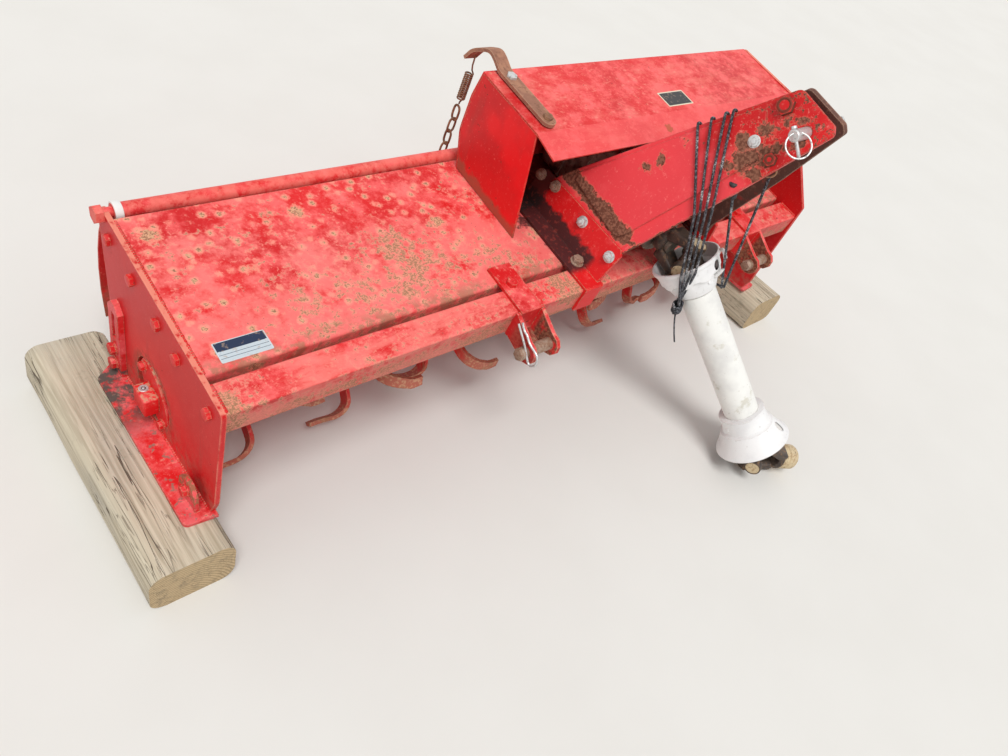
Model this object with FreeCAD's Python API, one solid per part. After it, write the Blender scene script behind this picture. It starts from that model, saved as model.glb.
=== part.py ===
import FreeCAD, Part
import math
import os

# A tractor-mounted rotary tiller of the five foot class, in millimetres.
# While it is drawn, X runs along the front beam from the left end plate's outer face, Y runs
# back from the beam's front edge, away from the tractor, and Z runs up from the skid soles' top.
# At the end the whole machine is moved so that the origin is under the middle of its box.

V = FreeCAD.Vector

# Overall
WIDTH = 1420.0               # outer faces of the two end plates
SHEET = 8.0                  # end plate thickness
BEAM_TOP = 236.0             # height of the beam's front top edge above the soles
DECK_SLOPE = 8.11            # the deck rises to the rear, degrees
FLOOR_DROP = 95.0            # from the soles' top down to the floor

# Front beam and deck, along the slope (s) and square to it (h)
BEAM = 50.8                  # square tube
BEAM_WALL = 5.0
LIP_GAP = 12.0               # open gap between the beam and the deck's front lip
LIP_DEPTH = 26.0
DECK_SHEET = 4.0
DECK_END = 350.0
BEND = 6.0                   # outer bend radius of the sheets

# Rotor
ROTOR_Y = 209.0
ROTOR_Z = 64.0
ROTOR_TUBE_R = 32.0
ROTOR_STUB_R = 17.5
TINE_REACH = 150.0           # swing radius
FLANGE_R = 72.0
FLANGE_SHEET = 8.0
FLANGES = 7
TINES_PER_SIDE = 3           # on each face of a flange
TINE_STAGGER = 17.0          # each flange is turned on from the last, degrees
TINE_ROOT = 40.0             # radius where a shank starts
TINE_BAR = 8.0               # bar thickness
TINE_BEND = 34.0
TINE_FOOT = 62.0             # how far the hook reaches to the side

HOUSING_OUT = 22.0           # the left bearing's box, out from the end plate
HOUSING_SHEET = 10.0
HOUSING_HOLE = 57.0          # radius of the round hole that shows it

# Hinged rear flap
HINGE_Y = 366.0
HINGE_Z = 283.0
HINGE_ROD_R = 8.0
HINGE_TUBE_R = 12.0
RUN_FIT = 0.05               # radial clearance of a pin in its bore
SIDE_GAP = 6.0
FLAP_SHEET = 3.0

# Hitch
HITCH_SIDE = 538.0           # from the right end plate's outer face in to the middle of the hitch
HITCH_X = WIDTH - HITCH_SIDE
LOWER_SPREAD = 683.0         # category 1, between the lower pins' middles
LOWER_Y = -47.0
LOWER_Z = 190.0
LOWER_PIN_R = 11.0
PIN_SIDES = 16               # the hitch pins and their holes are drawn with flat sides
EAR_GAP = 47.0
EAR_SHEET = 8.0
EAR_TIP = 22.0
STRAP_SHEET = 6.0
MAST_FOOT = 150.0            # from the hitch middle to a mast plate's foot
MAST_PIN_HALF = 30.0         # from the hitch middle to a mast plate at the top pin
MAST_SHEET = 8.0
PANEL_PROUD = 4.0            # the pressed panel
TOP_PIN_S = -73.9
TOP_PIN_H = 388.3
TOP_PIN_R = 9.5

# Gearbox and cross drive
DRIVE_H = 58.5               # height of the drive line above the deck
CROSS_S = 285.0              # cross shaft, along the slope
CROSS_TUBE_R = 38.0
BOX_HALF = 70.0
BOX_TALL = 128.0
BOX_FRONT = 62.0
BOX_BACK = 322.0
CASE_DEEP = 36.0             # chain case, out from the right end plate
CASE_TOP_R = 74.0
CASE_FOOT_R = 58.0
CASE_RIM = 8.0

# Shield over the cross drive
SHIELD_X = HITCH_X - 268.0
SHIELD_H = 190.0
SHIELD_SHEET = 3.0
SHIELD_FRONT = 147.0
SHIELD_BEND = 201.0          # where the top sheet turns down to the front
SHIELD_DROP = 10.0
SHIELD_FOOT = 331.0
SHIELD_BACK = 361.0

# Drive shaft
JOINT_S = -42.2              # first universal joint, along the slope
SHAFT_DOWN = 44.8            # below level, degrees
SHAFT_ASIDE = 26.4           # towards +X, degrees
EAR_R = 17.0
EAR_IN = 28.0
EAR_OUT = 44.0
CAP_OUT = 46.0               # bearing cap faces
CROSS_R = 10.0
YOKE_BASE = 52.0             # from the cross to the yoke's root
HUB_R = 27.0
INPUT_YOKE = 68.0            # from the first joint to the end of the gearbox yoke's hub
NEAR_BELL_R = 64.0
FAR_BELL_R = 76.0
GUARD_R = 35.0
GUARD_INNER_R = 31.0
GUARD_WALL = 2.6
SLIDE_GAP = 1.0
STEEL_TUBE_R = 22.0
STEEL_BAR_R = 15.0
JOINT_STAND = 49.9           # height of the far joint where its yoke lies on the floor
YOKE_DROOP = 14.0            # tractor end yoke, below level, degrees
YOKE_ASIDE = 40.0            # and turned to the side, degrees
HUB_END = 98.0
COLLAR_FROM = 58.0           # where the tractor end's coupling sleeve meets its yoke
BORE_R = 17.5                # inch and three eighths shaft
GUARD_SIDES = 24             # the round guards are drawn with flat sides

# Hook strap, spring and chain of the flap
HOOK_X = SHIELD_X + 36.0
HOOK_SHEET = 6.0
HOOK_WIDE = 28.0
STRAP_FROM = 180.0
EYE_S = 421.0
EYE_H = 172.0
SPRING_R = 7.4               # to the wire's middle
SPRING_WIRE = 3.0
SPRING_PITCH = 4.2
SPRING_LONG = 58.8
LINK_WIRE = 4.5
LINK_WIDE = 20.0
LINKS = 4
LUG_Y = 412.0
LUG_Z = 250.0

# Soles and bearers
SOLE = 6.0
SOLE_OUT = 42.0
BEARER_WIDE = 130.0
BEARER_IN = 12.0             # how far the bearer reaches in past the end plate's outer face
BEARER_ROUND = 26.0
BEARER_FRONT = -50.0
BEARER_BACK = 430.0

SLOPE_C = math.cos(math.radians(DECK_SLOPE))
SLOPE_S = math.sin(math.radians(DECK_SLOPE))
UP_SLOPE = V(0, SLOPE_C, SLOPE_S)
OFF_DECK = V(0, -SLOPE_S, SLOPE_C)
ALONG = V(1, 0, 0)
PARTS = {}


def upright(x):
    """Places (y, z) in the plane at x."""
    return lambda a, b: V(x, a, b)


def on_deck(x):
    """Places (s, h), measured along and off the deck's slope, in the plane at x."""
    return lambda s, h: V(x, 0, BEAM_TOP) + UP_SLOPE * s + OFF_DECK * h


def across(s):
    """Places (x, h) in the plane square to the deck at s."""
    return lambda x, h: on_deck(x)(s, h)


def outline(corners, place):
    """A closed wire through corners (a, b, radius)."""
    ends = []
    for i, (a, b, r) in enumerate(corners):
        p = V(a, b, 0)
        back = V(*corners[i - 1][:2], 0) - p
        on = V(*corners[(i + 1) % len(corners)][:2], 0) - p
        if r == 0:
            ends.append((p, None, p))
            continue
        back.normalize()
        on.normalize()
        half = back.getAngle(on) / 2
        middle = back + on
        middle.normalize()
        run = r / math.tan(half)
        ends.append((p + back * run, p + middle * (r / math.sin(half) - r), p + on * run))
    put = lambda q: place(q.x, q.y)
    edges = []
    for i, (start, mid, end) in enumerate(ends):
        if mid is not None:
            edges.append(Part.Arc(put(start), put(mid), put(end)).toShape())
        following = ends[(i + 1) % len(ends)][0]
        if end.distanceToPoint(following) > 1e-6:
            edges.append(Part.LineSegment(put(end), put(following)).toShape())
    return Part.Wire(edges)


def prism(corners, place, thickness):
    """The outline as a face, pushed along a vector."""
    return Part.Face(outline(corners, place)).extrude(thickness)


def sheet(path, thick):
    """Corners of a bent sheet: path (a, b, bend radius) is one face, the other lies to its left."""
    far = []
    for i, (a, b, r) in enumerate(path):
        before = V(a - path[i - 1][0], b - path[i - 1][1], 0) if i > 0 else None
        after = V(path[i + 1][0] - a, path[i + 1][1] - b, 0) if i < len(path) - 1 else None
        before = before or after
        after = after or before
        before.normalize()
        after.normalize()
        left = V(-before.y - after.y, before.x + after.x, 0)
        left.normalize()
        reach = thick / left.dot(V(-before.y, before.x, 0))
        turn = before.cross(after).z
        bent = r if abs(turn) < 1e-9 or r == 0 else r - math.copysign(thick, turn)
        far.append((a + left.x * reach, b + left.y * reach, bent))
    return list(path) + far[::-1]


def rod(start, direction, length, radius):
    return Part.makeCylinder(radius, length, start, direction)


def many_sided(start, direction, length, radius, sides):
    """A straight bar of regular section."""
    first = direction.cross(V(0.31, 0.17, 0.94))
    first.normalize()
    second = direction.cross(first)
    second.normalize()
    turn = 2 * math.pi / sides
    corners = [start + (first * math.cos(turn * (k + 0.5)) + second * math.sin(turn * (k + 0.5))) * radius
               for k in range(sides)]
    return Part.Face(Part.makePolygon(corners + corners[:1])).extrude(direction * length)


def hexagon(start, direction, length, across_flats):
    return many_sided(start, direction, length, across_flats / math.sqrt(3), 6)


def closed_body(faces):
    skin = Part.Shell(faces)
    skin.sewShape()
    body = Part.Solid(skin)
    if body.Volume < 0:
        body.reverse()
    return body


def turned_shell(profile, sides):
    """A ring with flat sides: profile (radius, along), a closed loop, about local Z."""
    turn = 2 * math.pi / sides
    faces = []
    for k in range(sides):
        place = [lambda r, z, way=turn * (k + step): V(r * math.cos(way), r * math.sin(way), z) for step in (0, 1)]
        for i, (r, z) in enumerate(profile):
            before_r, before_z = profile[i - 1]
            corners = [place[0](before_r, before_z), place[0](r, z), place[1](r, z), place[1](before_r, before_z)]
            faces.append(Part.Face(Part.makePolygon(corners + corners[:1])))
    return closed_body(faces)


def joined(*shapes):
    whole = shapes[0]
    for other in shapes[1:]:
        whole = whole.fuse(other)
    return whole.removeSplitter()


def basis(origin, x_axis, z_axis):
    """The placement that takes local axes to these, for shapes drawn along local Z."""
    y_axis = z_axis.cross(x_axis)
    m = FreeCAD.Matrix(
        x_axis.x, y_axis.x, z_axis.x, origin.x,
        x_axis.y, y_axis.y, z_axis.y, origin.y,
        x_axis.z, y_axis.z, z_axis.z, origin.z,
        0, 0, 0, 1)
    return FreeCAD.Placement(m)


def put(shape, placement):
    moved = shape.copy()
    moved.Placement = placement.multiply(moved.Placement)
    return moved


def mirrored(shape, x):
    return shape.mirror(V(x, 0, 0), ALONG)


# End plates and soles

def left_plate():
    lower = [(14, 0, 0), (346, 0, 0), (384, 292, 14), (-2, BEAM_TOP + 2, 10), (4, 30, 20)]
    plate = prism(lower, upright(0), V(SHEET, 0, 0))
    hole = rod(V(-1, ROTOR_Y, ROTOR_Z), ALONG, SHEET + 2, HOUSING_HOLE)
    rod_hole = rod(V(-1, HINGE_Y, HINGE_Z), ALONG, SHEET + 2, HINGE_ROD_R + RUN_FIT)
    return plate.cut(hole).cut(rod_hole)


def right_plate():
    tall = [(14, 0, 0), (346, 0, 0), (384, 292, 10), (352, 425, 60), (330, 476, 14),
            (150, 452, 20), (62, 346, 60), (-4, 262, 10), (4, 30, 20)]
    plate = prism(tall, upright(WIDTH - SHEET), V(SHEET, 0, 0))
    hole = rod(V(WIDTH - SHEET - 1, ROTOR_Y, ROTOR_Z), ALONG, SHEET + 2, ROTOR_STUB_R + 12)
    rod_hole = rod(V(WIDTH - SHEET - 1, HINGE_Y, HINGE_Z), ALONG, SHEET + 2, HINGE_ROD_R + RUN_FIT)
    return plate.cut(hole).cut(rod_hole)


def sole(x_out, x_in):
    """A flat foot with a clipped front corner and a pointed tail."""
    low_x, high_x = min(x_out, x_in), max(x_out, x_in)
    plan = [(x_in, 4, 0), (x_out, 8, 8), (x_out, 322, 10), (x_in, 362, 4)]
    return prism(plan, lambda a, b: V(a, b, -SOLE), V(0, 0, SOLE))


STRAP_WIDE = 36.0
STRAP_TALL = 150.0
STRAP_THICK = 10.0
STRAP_Y = 308.0


def skid_strap():
    """The upright slotted bar of the left skid, against the end plate's outer face."""
    low, high = STRAP_Y, STRAP_Y + STRAP_WIDE
    bar = prism([(low, -0.5, 0), (high, -0.5, 0), (high, STRAP_TALL - 14, 0), (high - 12, STRAP_TALL, 0),
                 (low + 12, STRAP_TALL, 0), (low, STRAP_TALL - 14, 0)], upright(-STRAP_THICK), V(STRAP_THICK - 0.2, 0, 0))
    middle = (low + high) / 2
    slot = prism([(middle - 6, 76, 0), (middle + 6, 76, 0), (middle + 6, STRAP_TALL - 20, 0),
                  (middle - 6, STRAP_TALL - 20, 0)], upright(-STRAP_THICK - 1), V(STRAP_THICK + 2, 0, 0))
    return bar.cut(slot)


def skid_clip():
    """The front lug of the left skid, that stands a little off the end plate."""
    return prism([(22, -0.5, 0), (78, -0.5, 0), (74, 30, 0), (58, 46, 0), (40, 46, 0), (26, 30, 0)],
                 upright(-20), V(7, 0, 0))


PARTS["end_plate_left"] = left_plate()
PARTS["end_plate_right"] = right_plate()
PARTS["skid_left"] = joined(sole(-SOLE_OUT, SHEET), skid_strap(), skid_clip())
PARTS["skid_right"] = mirrored(PARTS["skid_left"], WIDTH / 2)


# Bearers of timber under the soles, flat above and below and round at the sides

def bearer(x_low):
    x_high = x_low + BEARER_WIDE
    r = BEARER_ROUND
    profile = [(x_low, -FLOOR_DROP, r), (x_high, -FLOOR_DROP, r), (x_high, -SOLE, r), (x_low, -SOLE, r)]
    return prism(profile, lambda a, b: V(a, BEARER_FRONT, b), V(0, BEARER_BACK - BEARER_FRONT, 0))


PARTS["timber_left"] = bearer(BEARER_IN - BEARER_WIDE)
PARTS["timber_right"] = bearer(WIDTH - BEARER_IN)


# Beam and hood

INSIDE = WIDTH - 2 * SHEET
LIP_S = BEAM + LIP_GAP


def beam():
    outer = prism([(0, -BEAM, 4), (BEAM, -BEAM, 4), (BEAM, 0, 4), (0, 0, 4)], on_deck(SHEET), V(INSIDE, 0, 0))
    w = BEAM_WALL
    inner = prism([(w, w - BEAM, 0), (BEAM - w, w - BEAM, 0), (BEAM - w, -w, 0), (w, -w, 0)],
                  on_deck(SHEET), V(INSIDE, 0, 0))
    return outer.cut(inner)


def hood():
    path = [(DECK_END, 0, 0), (LIP_S, 0, BEND), (LIP_S, -LIP_DEPTH, 0)]
    return prism(sheet(path, DECK_SHEET), on_deck(SHEET), V(INSIDE, 0, 0))


PARTS["front_beam"] = beam()
PARTS["hood"] = hood()


# Rear flap on its rolled hinge tube, and the rod through both end plates

def flap():
    tube = rod(V(SHEET + SIDE_GAP, HINGE_Y, HINGE_Z), ALONG, INSIDE - 2 * SIDE_GAP, HINGE_TUBE_R)
    bore = rod(V(0, HINGE_Y, HINGE_Z), ALONG, WIDTH, HINGE_ROD_R + RUN_FIT)
    hang = [(4, -7), (19, -10), (42, -44), (60, -82), (71, -124), (76, -168), (74, -212), (62, -262)]
    path = [(HINGE_Y + a, HINGE_Z + b, 0) for a, b in hang]
    panel = prism(sheet(path, FLAP_SHEET), upright(SHEET + SIDE_GAP), V(INSIDE - 2 * SIDE_GAP, 0, 0))
    lug = prism([(LUG_Y - 14, LUG_Z - 40, 0), (LUG_Y + 9, LUG_Z - 8, 0), (LUG_Y + 9, LUG_Z + 5, 0),
                 (LUG_Y + 4, LUG_Z + 9, 0), (LUG_Y - 30, LUG_Z + 13, 0)], upright(HOOK_X - 3), V(6, 0, 0))
    lug = lug.cut(many_sided(V(HOOK_X - 4, LUG_Y, LUG_Z), ALONG, 8, 5, 8))
    return joined(tube, panel, lug).cut(bore)


def hinge_rod():
    head = 12
    shank = rod(V(-head, HINGE_Y, HINGE_Z), ALONG, WIDTH + 2 * head, HINGE_ROD_R)
    for x in (-head, WIDTH):
        shank = shank.fuse(hexagon(V(x, HINGE_Y, HINGE_Z), ALONG, head, 3 * HINGE_ROD_R))
    return shank.removeSplitter()


PARTS["flap"] = flap()
PARTS["hinge_rod"] = hinge_rod()


# Rotor: a tube with flat-sided flanges and hooked tines on both faces of each

ROTOR_FROM = SHEET + 22
ROTOR_TO = WIDTH - SHEET - 22


def flange_places():
    first = ROTOR_FROM + TINE_FOOT + 22
    last = ROTOR_TO - TINE_FOOT - 22 - FLANGE_SHEET
    return [first + (last - first) * i / (FLANGES - 1) for i in range(FLANGES)]


def ring(centre_y, centre_z, radius, sides, place):
    """A regular outline about a centre."""
    turn = 2 * math.pi / sides
    return Part.makePolygon([place(centre_y + radius * math.cos(turn * k), centre_z + radius * math.sin(turn * k))
                             for k in range(sides + 1)])


def flange(x):
    return Part.Face(ring(ROTOR_Y, ROTOR_Z, FLANGE_R, 12, upright(x))).extrude(V(FLANGE_SHEET, 0, 0))


def tine(side):
    """One hooked tine, drawn at x 0 with its shank up and bent towards side."""
    turn = TINE_BEND
    bar = [(TINE_FOOT, TINE_REACH, 0), (turn, TINE_REACH, 0), (0.27 * turn, TINE_REACH - 0.27 * turn, 0),
           (0, TINE_REACH - turn, 0), (0, TINE_ROOT, 0)]
    strip = [(side * a, b, r) for a, b, r in sheet(bar, TINE_BAR)]
    bent = prism(strip, lambda a, b: V(a, -TINE_REACH, b), V(0, 2 * TINE_REACH, 0))
    sickle = [(-12, TINE_ROOT, 0), (18, TINE_ROOT, 0), (18, 104, 0), (-16, TINE_REACH + 1, 0),
              (-50, TINE_REACH + 1, 0), (-14, 104, 0)]
    side_view = prism(sickle, upright(-TINE_REACH), V(2 * TINE_REACH, 0, 0))
    return bent.common(side_view)


def tined_rotor():
    tube = rod(V(ROTOR_FROM, ROTOR_Y, ROTOR_Z), ALONG, ROTOR_TO - ROTOR_FROM, ROTOR_TUBE_R)
    pieces = []
    step = 360.0 / (2 * TINES_PER_SIDE)
    patterns = {side: tine(side) for side in (-1, 1)}
    for i, x in enumerate(flange_places()):
        pieces.append(flange(x))
        for k in range(2 * TINES_PER_SIDE):
            side = 1 if k % 2 else -1
            blade = patterns[side].copy()
            blade.rotate(V(0, 0, 0), ALONG, k * step + i * TINE_STAGGER)
            blade.translate(V(x + FLANGE_SHEET if side > 0 else x, ROTOR_Y, ROTOR_Z))
            pieces.append(blade)
    return tube.multiFuse(pieces).removeSplitter()


def rotor_stubs():
    left = rod(V(SHEET + 3, ROTOR_Y, ROTOR_Z), ALONG, ROTOR_FROM - SHEET - 3, ROTOR_STUB_R)
    right = rod(V(ROTOR_TO, ROTOR_Y, ROTOR_Z), ALONG, WIDTH - ROTOR_TO - 1, ROTOR_STUB_R)
    return Part.makeCompound([left, right])


PARTS["tined_rotor"] = tined_rotor()
PARTS["rotor_stubs"] = rotor_stubs()


# Bearing housing seen through the left plate's round hole

def bearing_housing():
    hub = 34
    body = prism([(ROTOR_Y - hub, ROTOR_Z - hub, 0), (ROTOR_Y + hub, ROTOR_Z - hub, 0),
                  (ROTOR_Y + hub, ROTOR_Z + hub, 0), (ROTOR_Y - hub, ROTOR_Z + hub, 0)],
                 upright(-HOUSING_OUT), V(SHEET + HOUSING_OUT, 0, 0))
    body = body.makeChamfer(8, [e for e in body.Edges if abs(e.CenterOfMass.y - ROTOR_Y) > hub - 1
                                and abs(e.CenterOfMass.z - ROTOR_Z) > hub - 1])
    wings = Part.Face(ring(ROTOR_Y, ROTOR_Z, 76, 8, upright(SHEET))).extrude(V(HOUSING_SHEET, 0, 0))
    narrow = prism([(ROTOR_Y - 34, ROTOR_Z - 80, 0), (ROTOR_Y + 34, ROTOR_Z - 80, 0),
                    (ROTOR_Y + 34, ROTOR_Z + 80, 0), (ROTOR_Y - 34, ROTOR_Z + 80, 0)],
                   upright(SHEET), V(HOUSING_SHEET, 0, 0))
    low = prism([(ROTOR_Y - 80, 1, 0), (ROTOR_Y + 80, 1, 0), (ROTOR_Y + 80, 160, 0), (ROTOR_Y - 80, 160, 0)],
                upright(SHEET), V(HOUSING_SHEET, 0, 0))
    bore = rod(V(SHEET - 6, ROTOR_Y, ROTOR_Z), ALONG, 30, ROTOR_STUB_R + RUN_FIT)
    return joined(body, wings.common(narrow).common(low)).cut(bore)


PARTS["bearing_housing"] = bearing_housing()


# Lower hitch clevises with their pins

def clevis(x):
    """A strap over deck lip and beam, bent down in front, with two ears for the lower link."""
    t = STRAP_SHEET
    wide = EAR_GAP + 2 * EAR_SHEET
    strap = prism([(LIP_S + 34, 0, 0), (LIP_S + 34, t, 0), (2 - t, t, 0), (-t, t - 2, 0), (-t, -BEAM, 0),
                   (0, -BEAM, 0), (0, 0, 0)], on_deck(x - 24), V(48, 0, 0))
    back = prism([(0, -BEAM, 0), (-t, -BEAM, 0), (-t, 2, 0), (0, 2, 0)], on_deck(x - wide / 2), V(wide, 0, 0))
    pieces = [strap, back]
    for left in (x - wide / 2, x + EAR_GAP / 2):
        root_low = on_deck(left)(-t / 2, -BEAM + 2)
        root_high = on_deck(left)(-t / 2, 2)
        tip = [(LOWER_Y + EAR_TIP * math.sin(math.radians(d)), LOWER_Z - EAR_TIP * math.cos(math.radians(d)), 0)
               for d in (0, -36, -72, -108, -144, -180)]
        ear = prism([(root_low.y, root_low.z, 0)] + tip + [(root_high.y, root_high.z, 0)],
                    upright(left), V(EAR_SHEET, 0, 0))
        hole = many_sided(V(left - 1, LOWER_Y, LOWER_Z), ALONG, EAR_SHEET + 2, LOWER_PIN_R + 0.3, PIN_SIDES)
        pieces.append(ear.cut(hole))
    return joined(*pieces)


def lower_pin(x):
    reach = EAR_GAP / 2 + EAR_SHEET + 12
    pin = many_sided(V(x - reach, LOWER_Y, LOWER_Z), ALONG, 2 * reach, LOWER_PIN_R, PIN_SIDES)
    head = hexagon(V(x - reach - 7, LOWER_Y, LOWER_Z), ALONG, 7, 2.9 * LOWER_PIN_R)
    return joined(pin, head)


LEFT_X = HITCH_X - LOWER_SPREAD / 2
RIGHT_X = HITCH_X + LOWER_SPREAD / 2
PARTS["clevises"] = Part.makeCompound([clevis(LEFT_X), clevis(RIGHT_X)])
PARTS["hitch_pins"] = Part.makeCompound([lower_pin(LEFT_X), lower_pin(RIGHT_X)])


# Mast: a pair of leaning pressed plates on angle feet, closed at the top by the link pin

MAST_FOOT_H = 50.0
LEAN = math.atan((MAST_FOOT - MAST_PIN_HALF) / (TOP_PIN_H - MAST_FOOT_H))
LEAN_C = math.cos(LEAN)
MAST_UP = OFF_DECK * LEAN_C + ALONG * math.sin(LEAN)
MAST_OUT = ALONG * -LEAN_C + OFF_DECK * math.sin(LEAN)


def on_mast(offset):
    """Places (s, h) on the left plate's outer face, pushed out by offset."""
    foot = on_deck(HITCH_X - MAST_FOOT)(0, MAST_FOOT_H) + MAST_OUT * offset
    return lambda s, h: foot + UP_SLOPE * s + MAST_UP * ((h - MAST_FOOT_H) / LEAN_C)


def mast_plate():
    s, h = TOP_PIN_S, TOP_PIN_H
    low = MAST_FOOT_H
    edge = [(14, low - 24, 6), (10, low + 16, 0), (s + 12, h - 124, 0), (s - 35, h + 23, 8), (s - 25, h + 33, 8),
            (s + 53, h + 39, 14), (196, low + 36, 30), (221, low - 16, 8)]
    plate = prism(edge, on_mast(0), MAST_OUT * -MAST_SHEET)
    pin_hole = many_sided(on_deck(HITCH_X - MAST_FOOT)(s, h), ALONG, 2 * MAST_FOOT, TOP_PIN_R + 0.3, PIN_SIDES)
    return plate.cut(pin_hole)


def mast_panel():
    """The pressed field of the near plate, with its rounded lower corner."""
    s, h, low = TOP_PIN_S, TOP_PIN_H, MAST_FOOT_H
    edge = [(28, low + 44, 0), (36, low + 32, 0), (50, low + 28, 0), (170, low + 40, 0), (176, low + 52, 0),
            (s + 84, h - 22, 0), (s + 70, h - 14, 0), (s + 40, h - 40, 0), (s + 24, h - 70, 0)]
    return prism(edge, on_mast(0), MAST_OUT * PANEL_PROUD)


def mast_base():
    t = STRAP_SHEET
    x = HITCH_X - MAST_FOOT - MAST_FOOT_H * math.tan(LEAN)
    foot = prism([(238, 0, 0), (238, t, 0), (2 - t, t, 0), (-t, t - 2, 0), (-t, -BEAM, 0), (0, -BEAM, 0), (0, 0, 0)],
                 on_deck(x - 40), V(46, 0, 0))
    stand = prism([(4, -30, 0), (4, 64, 0), (12, 72, 0), (228, 66, 0), (236, 58, 0), (236, -30, 0)],
                  on_mast(0), MAST_OUT * t)
    keep = prism([(0, t / 2, 0), (260, t / 2, 0), (260, 120, 0), (0, 120, 0)], on_deck(x - 120), V(300, 0, 0))
    return joined(foot, stand.common(keep))


PARTS["mast_plate_left"] = joined(mast_plate(), mast_panel())
PARTS["mast_base_left"] = mast_base()
PARTS["mast_plate_right"] = mirrored(mast_plate(), HITCH_X)
PARTS["mast_base_right"] = mirrored(PARTS["mast_base_left"], HITCH_X)


def top_pin():
    middle = on_deck(HITCH_X)(TOP_PIN_S, TOP_PIN_H)
    reach = MAST_PIN_HALF + 36
    pin = many_sided(middle - ALONG * reach, ALONG, 2 * reach, TOP_PIN_R, PIN_SIDES)
    return joined(pin, hexagon(middle + ALONG * reach, ALONG, 6, 3.2 * TOP_PIN_R))


PARTS["top_link_pin"] = top_pin()


# Gearbox, cross shaft tube and chain case

def gearbox():
    box = prism([(HITCH_X - BOX_HALF, 0, 0), (HITCH_X + BOX_HALF, 0, 0), (HITCH_X + BOX_HALF, BOX_TALL - 18, 0),
                 (HITCH_X + BOX_HALF - 18, BOX_TALL, 0), (HITCH_X - BOX_HALF + 18, BOX_TALL, 0),
                 (HITCH_X - BOX_HALF, BOX_TALL - 18, 0)], across(BOX_FRONT), UP_SLOPE * (BOX_BACK - BOX_FRONT))
    boss = many_sided(on_deck(HITCH_X)(BOX_FRONT - 34, DRIVE_H), UP_SLOPE, 40, 46, 20)
    neck = many_sided(on_deck(HITCH_X)(JOINT_S + INPUT_YOKE, DRIVE_H), UP_SLOPE, 20, ROTOR_STUB_R, 12)
    flange_ring = many_sided(on_deck(HITCH_X + BOX_HALF)(CROSS_S, DRIVE_H), ALONG, 12, 50, 20)
    return joined(box, boss, neck, flange_ring)


def cross_tube():
    start = HITCH_X + BOX_HALF + 12
    seat = on_deck(start)(CROSS_S, DRIVE_H)
    long = WIDTH - SHEET - start
    return many_sided(seat, ALONG, long, CROSS_TUBE_R, 20).cut(many_sided(seat, ALONG, long, CROSS_TUBE_R - 5, 20))


def chain_case():
    """A long case with round ends over the two sprockets, its outer rim cut back."""
    top = on_deck(WIDTH)(CROSS_S, DRIVE_H)
    foot = V(WIDTH, ROTOR_Y, ROTOR_Z)
    line = top - foot
    gap = line.Length
    line.normalize()
    side = line.cross(ALONG)
    lean = math.asin((CASE_TOP_R - CASE_FOOT_R) / gap)
    flats = 8
    points = []
    for centre, radius, low, high in ((top, CASE_TOP_R, -lean, math.pi + lean),
                                      (foot, CASE_FOOT_R, math.pi + lean, 2 * math.pi - lean)):
        for k in range(flats + 1):
            turn = low + (high - low) * k / flats
            points.append(centre + (side * math.cos(turn) + line * math.sin(turn)) * radius)
    case = Part.Face(Part.makePolygon(points + points[:1])).extrude(V(CASE_DEEP, 0, 0))
    outer = [e for e in case.Edges if abs(e.CenterOfMass.x - WIDTH - CASE_DEEP) < 1e-3]
    return case.makeChamfer(CASE_RIM, outer)


PARTS["gearbox"] = gearbox()
PARTS["cross_shaft_tube"] = cross_tube()
PARTS["chain_case"] = chain_case()


# Shield over the cross drive

def shield_back(out):
    """The rear and top line of the shield's sheet, pushed out by out."""
    rise = SHIELD_H - SHIELD_SHEET
    return [(SHIELD_FOOT - SHIELD_SHEET + out, 1.6, 0), (SHIELD_BACK - 4 + out, 68, 60), (SHIELD_BACK + out, 139, 60),
            (SHIELD_BACK - 6 + out, rise + out, 0)]


def shield_side():
    rise = SHIELD_H - SHIELD_SHEET
    edge = [(SHIELD_FRONT, 0.3, 0)] + shield_back(0) + [(SHIELD_BEND, rise, 0), (SHIELD_FRONT, rise - SHIELD_DROP, 0)]
    return prism(edge, on_deck(SHIELD_X), V(SHIELD_SHEET, 0, 0))


def shield_top():
    path = shield_back(0.2) + [(SHIELD_BEND, SHIELD_H - SHIELD_SHEET + 0.2, 0),
                               (SHIELD_FRONT, SHIELD_H - SHIELD_SHEET - SHIELD_DROP + 0.2, 0)]
    outside = sheet(path[::-1], SHIELD_SHEET)
    return prism(outside, on_deck(SHIELD_X), V(WIDTH - SHEET - SHIELD_X, 0, 0))


PARTS["shield_side"] = shield_side()
PARTS["shield_top"] = shield_top()


# Drive shaft: placed from the first universal joint

JOINT = on_deck(HITCH_X)(JOINT_S, DRIVE_H)
DOWN_C = math.cos(math.radians(SHAFT_DOWN))
DOWN_S = math.sin(math.radians(SHAFT_DOWN))
SHAFT = V(math.sin(math.radians(SHAFT_ASIDE)) * DOWN_C, -math.cos(math.radians(SHAFT_ASIDE)) * DOWN_C, -DOWN_S)
LIFT_AXIS = OFF_DECK.cross(SHAFT)
LIFT_AXIS.normalize()
ON_SHAFT = basis(JOINT, LIFT_AXIS, SHAFT)
REACH = (JOINT.z + FLOOR_DROP - JOINT_STAND) / DOWN_S
FAR_JOINT = JOINT + SHAFT * REACH
LZ = V(0, 0, 1)
LX = V(1, 0, 0)


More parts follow.
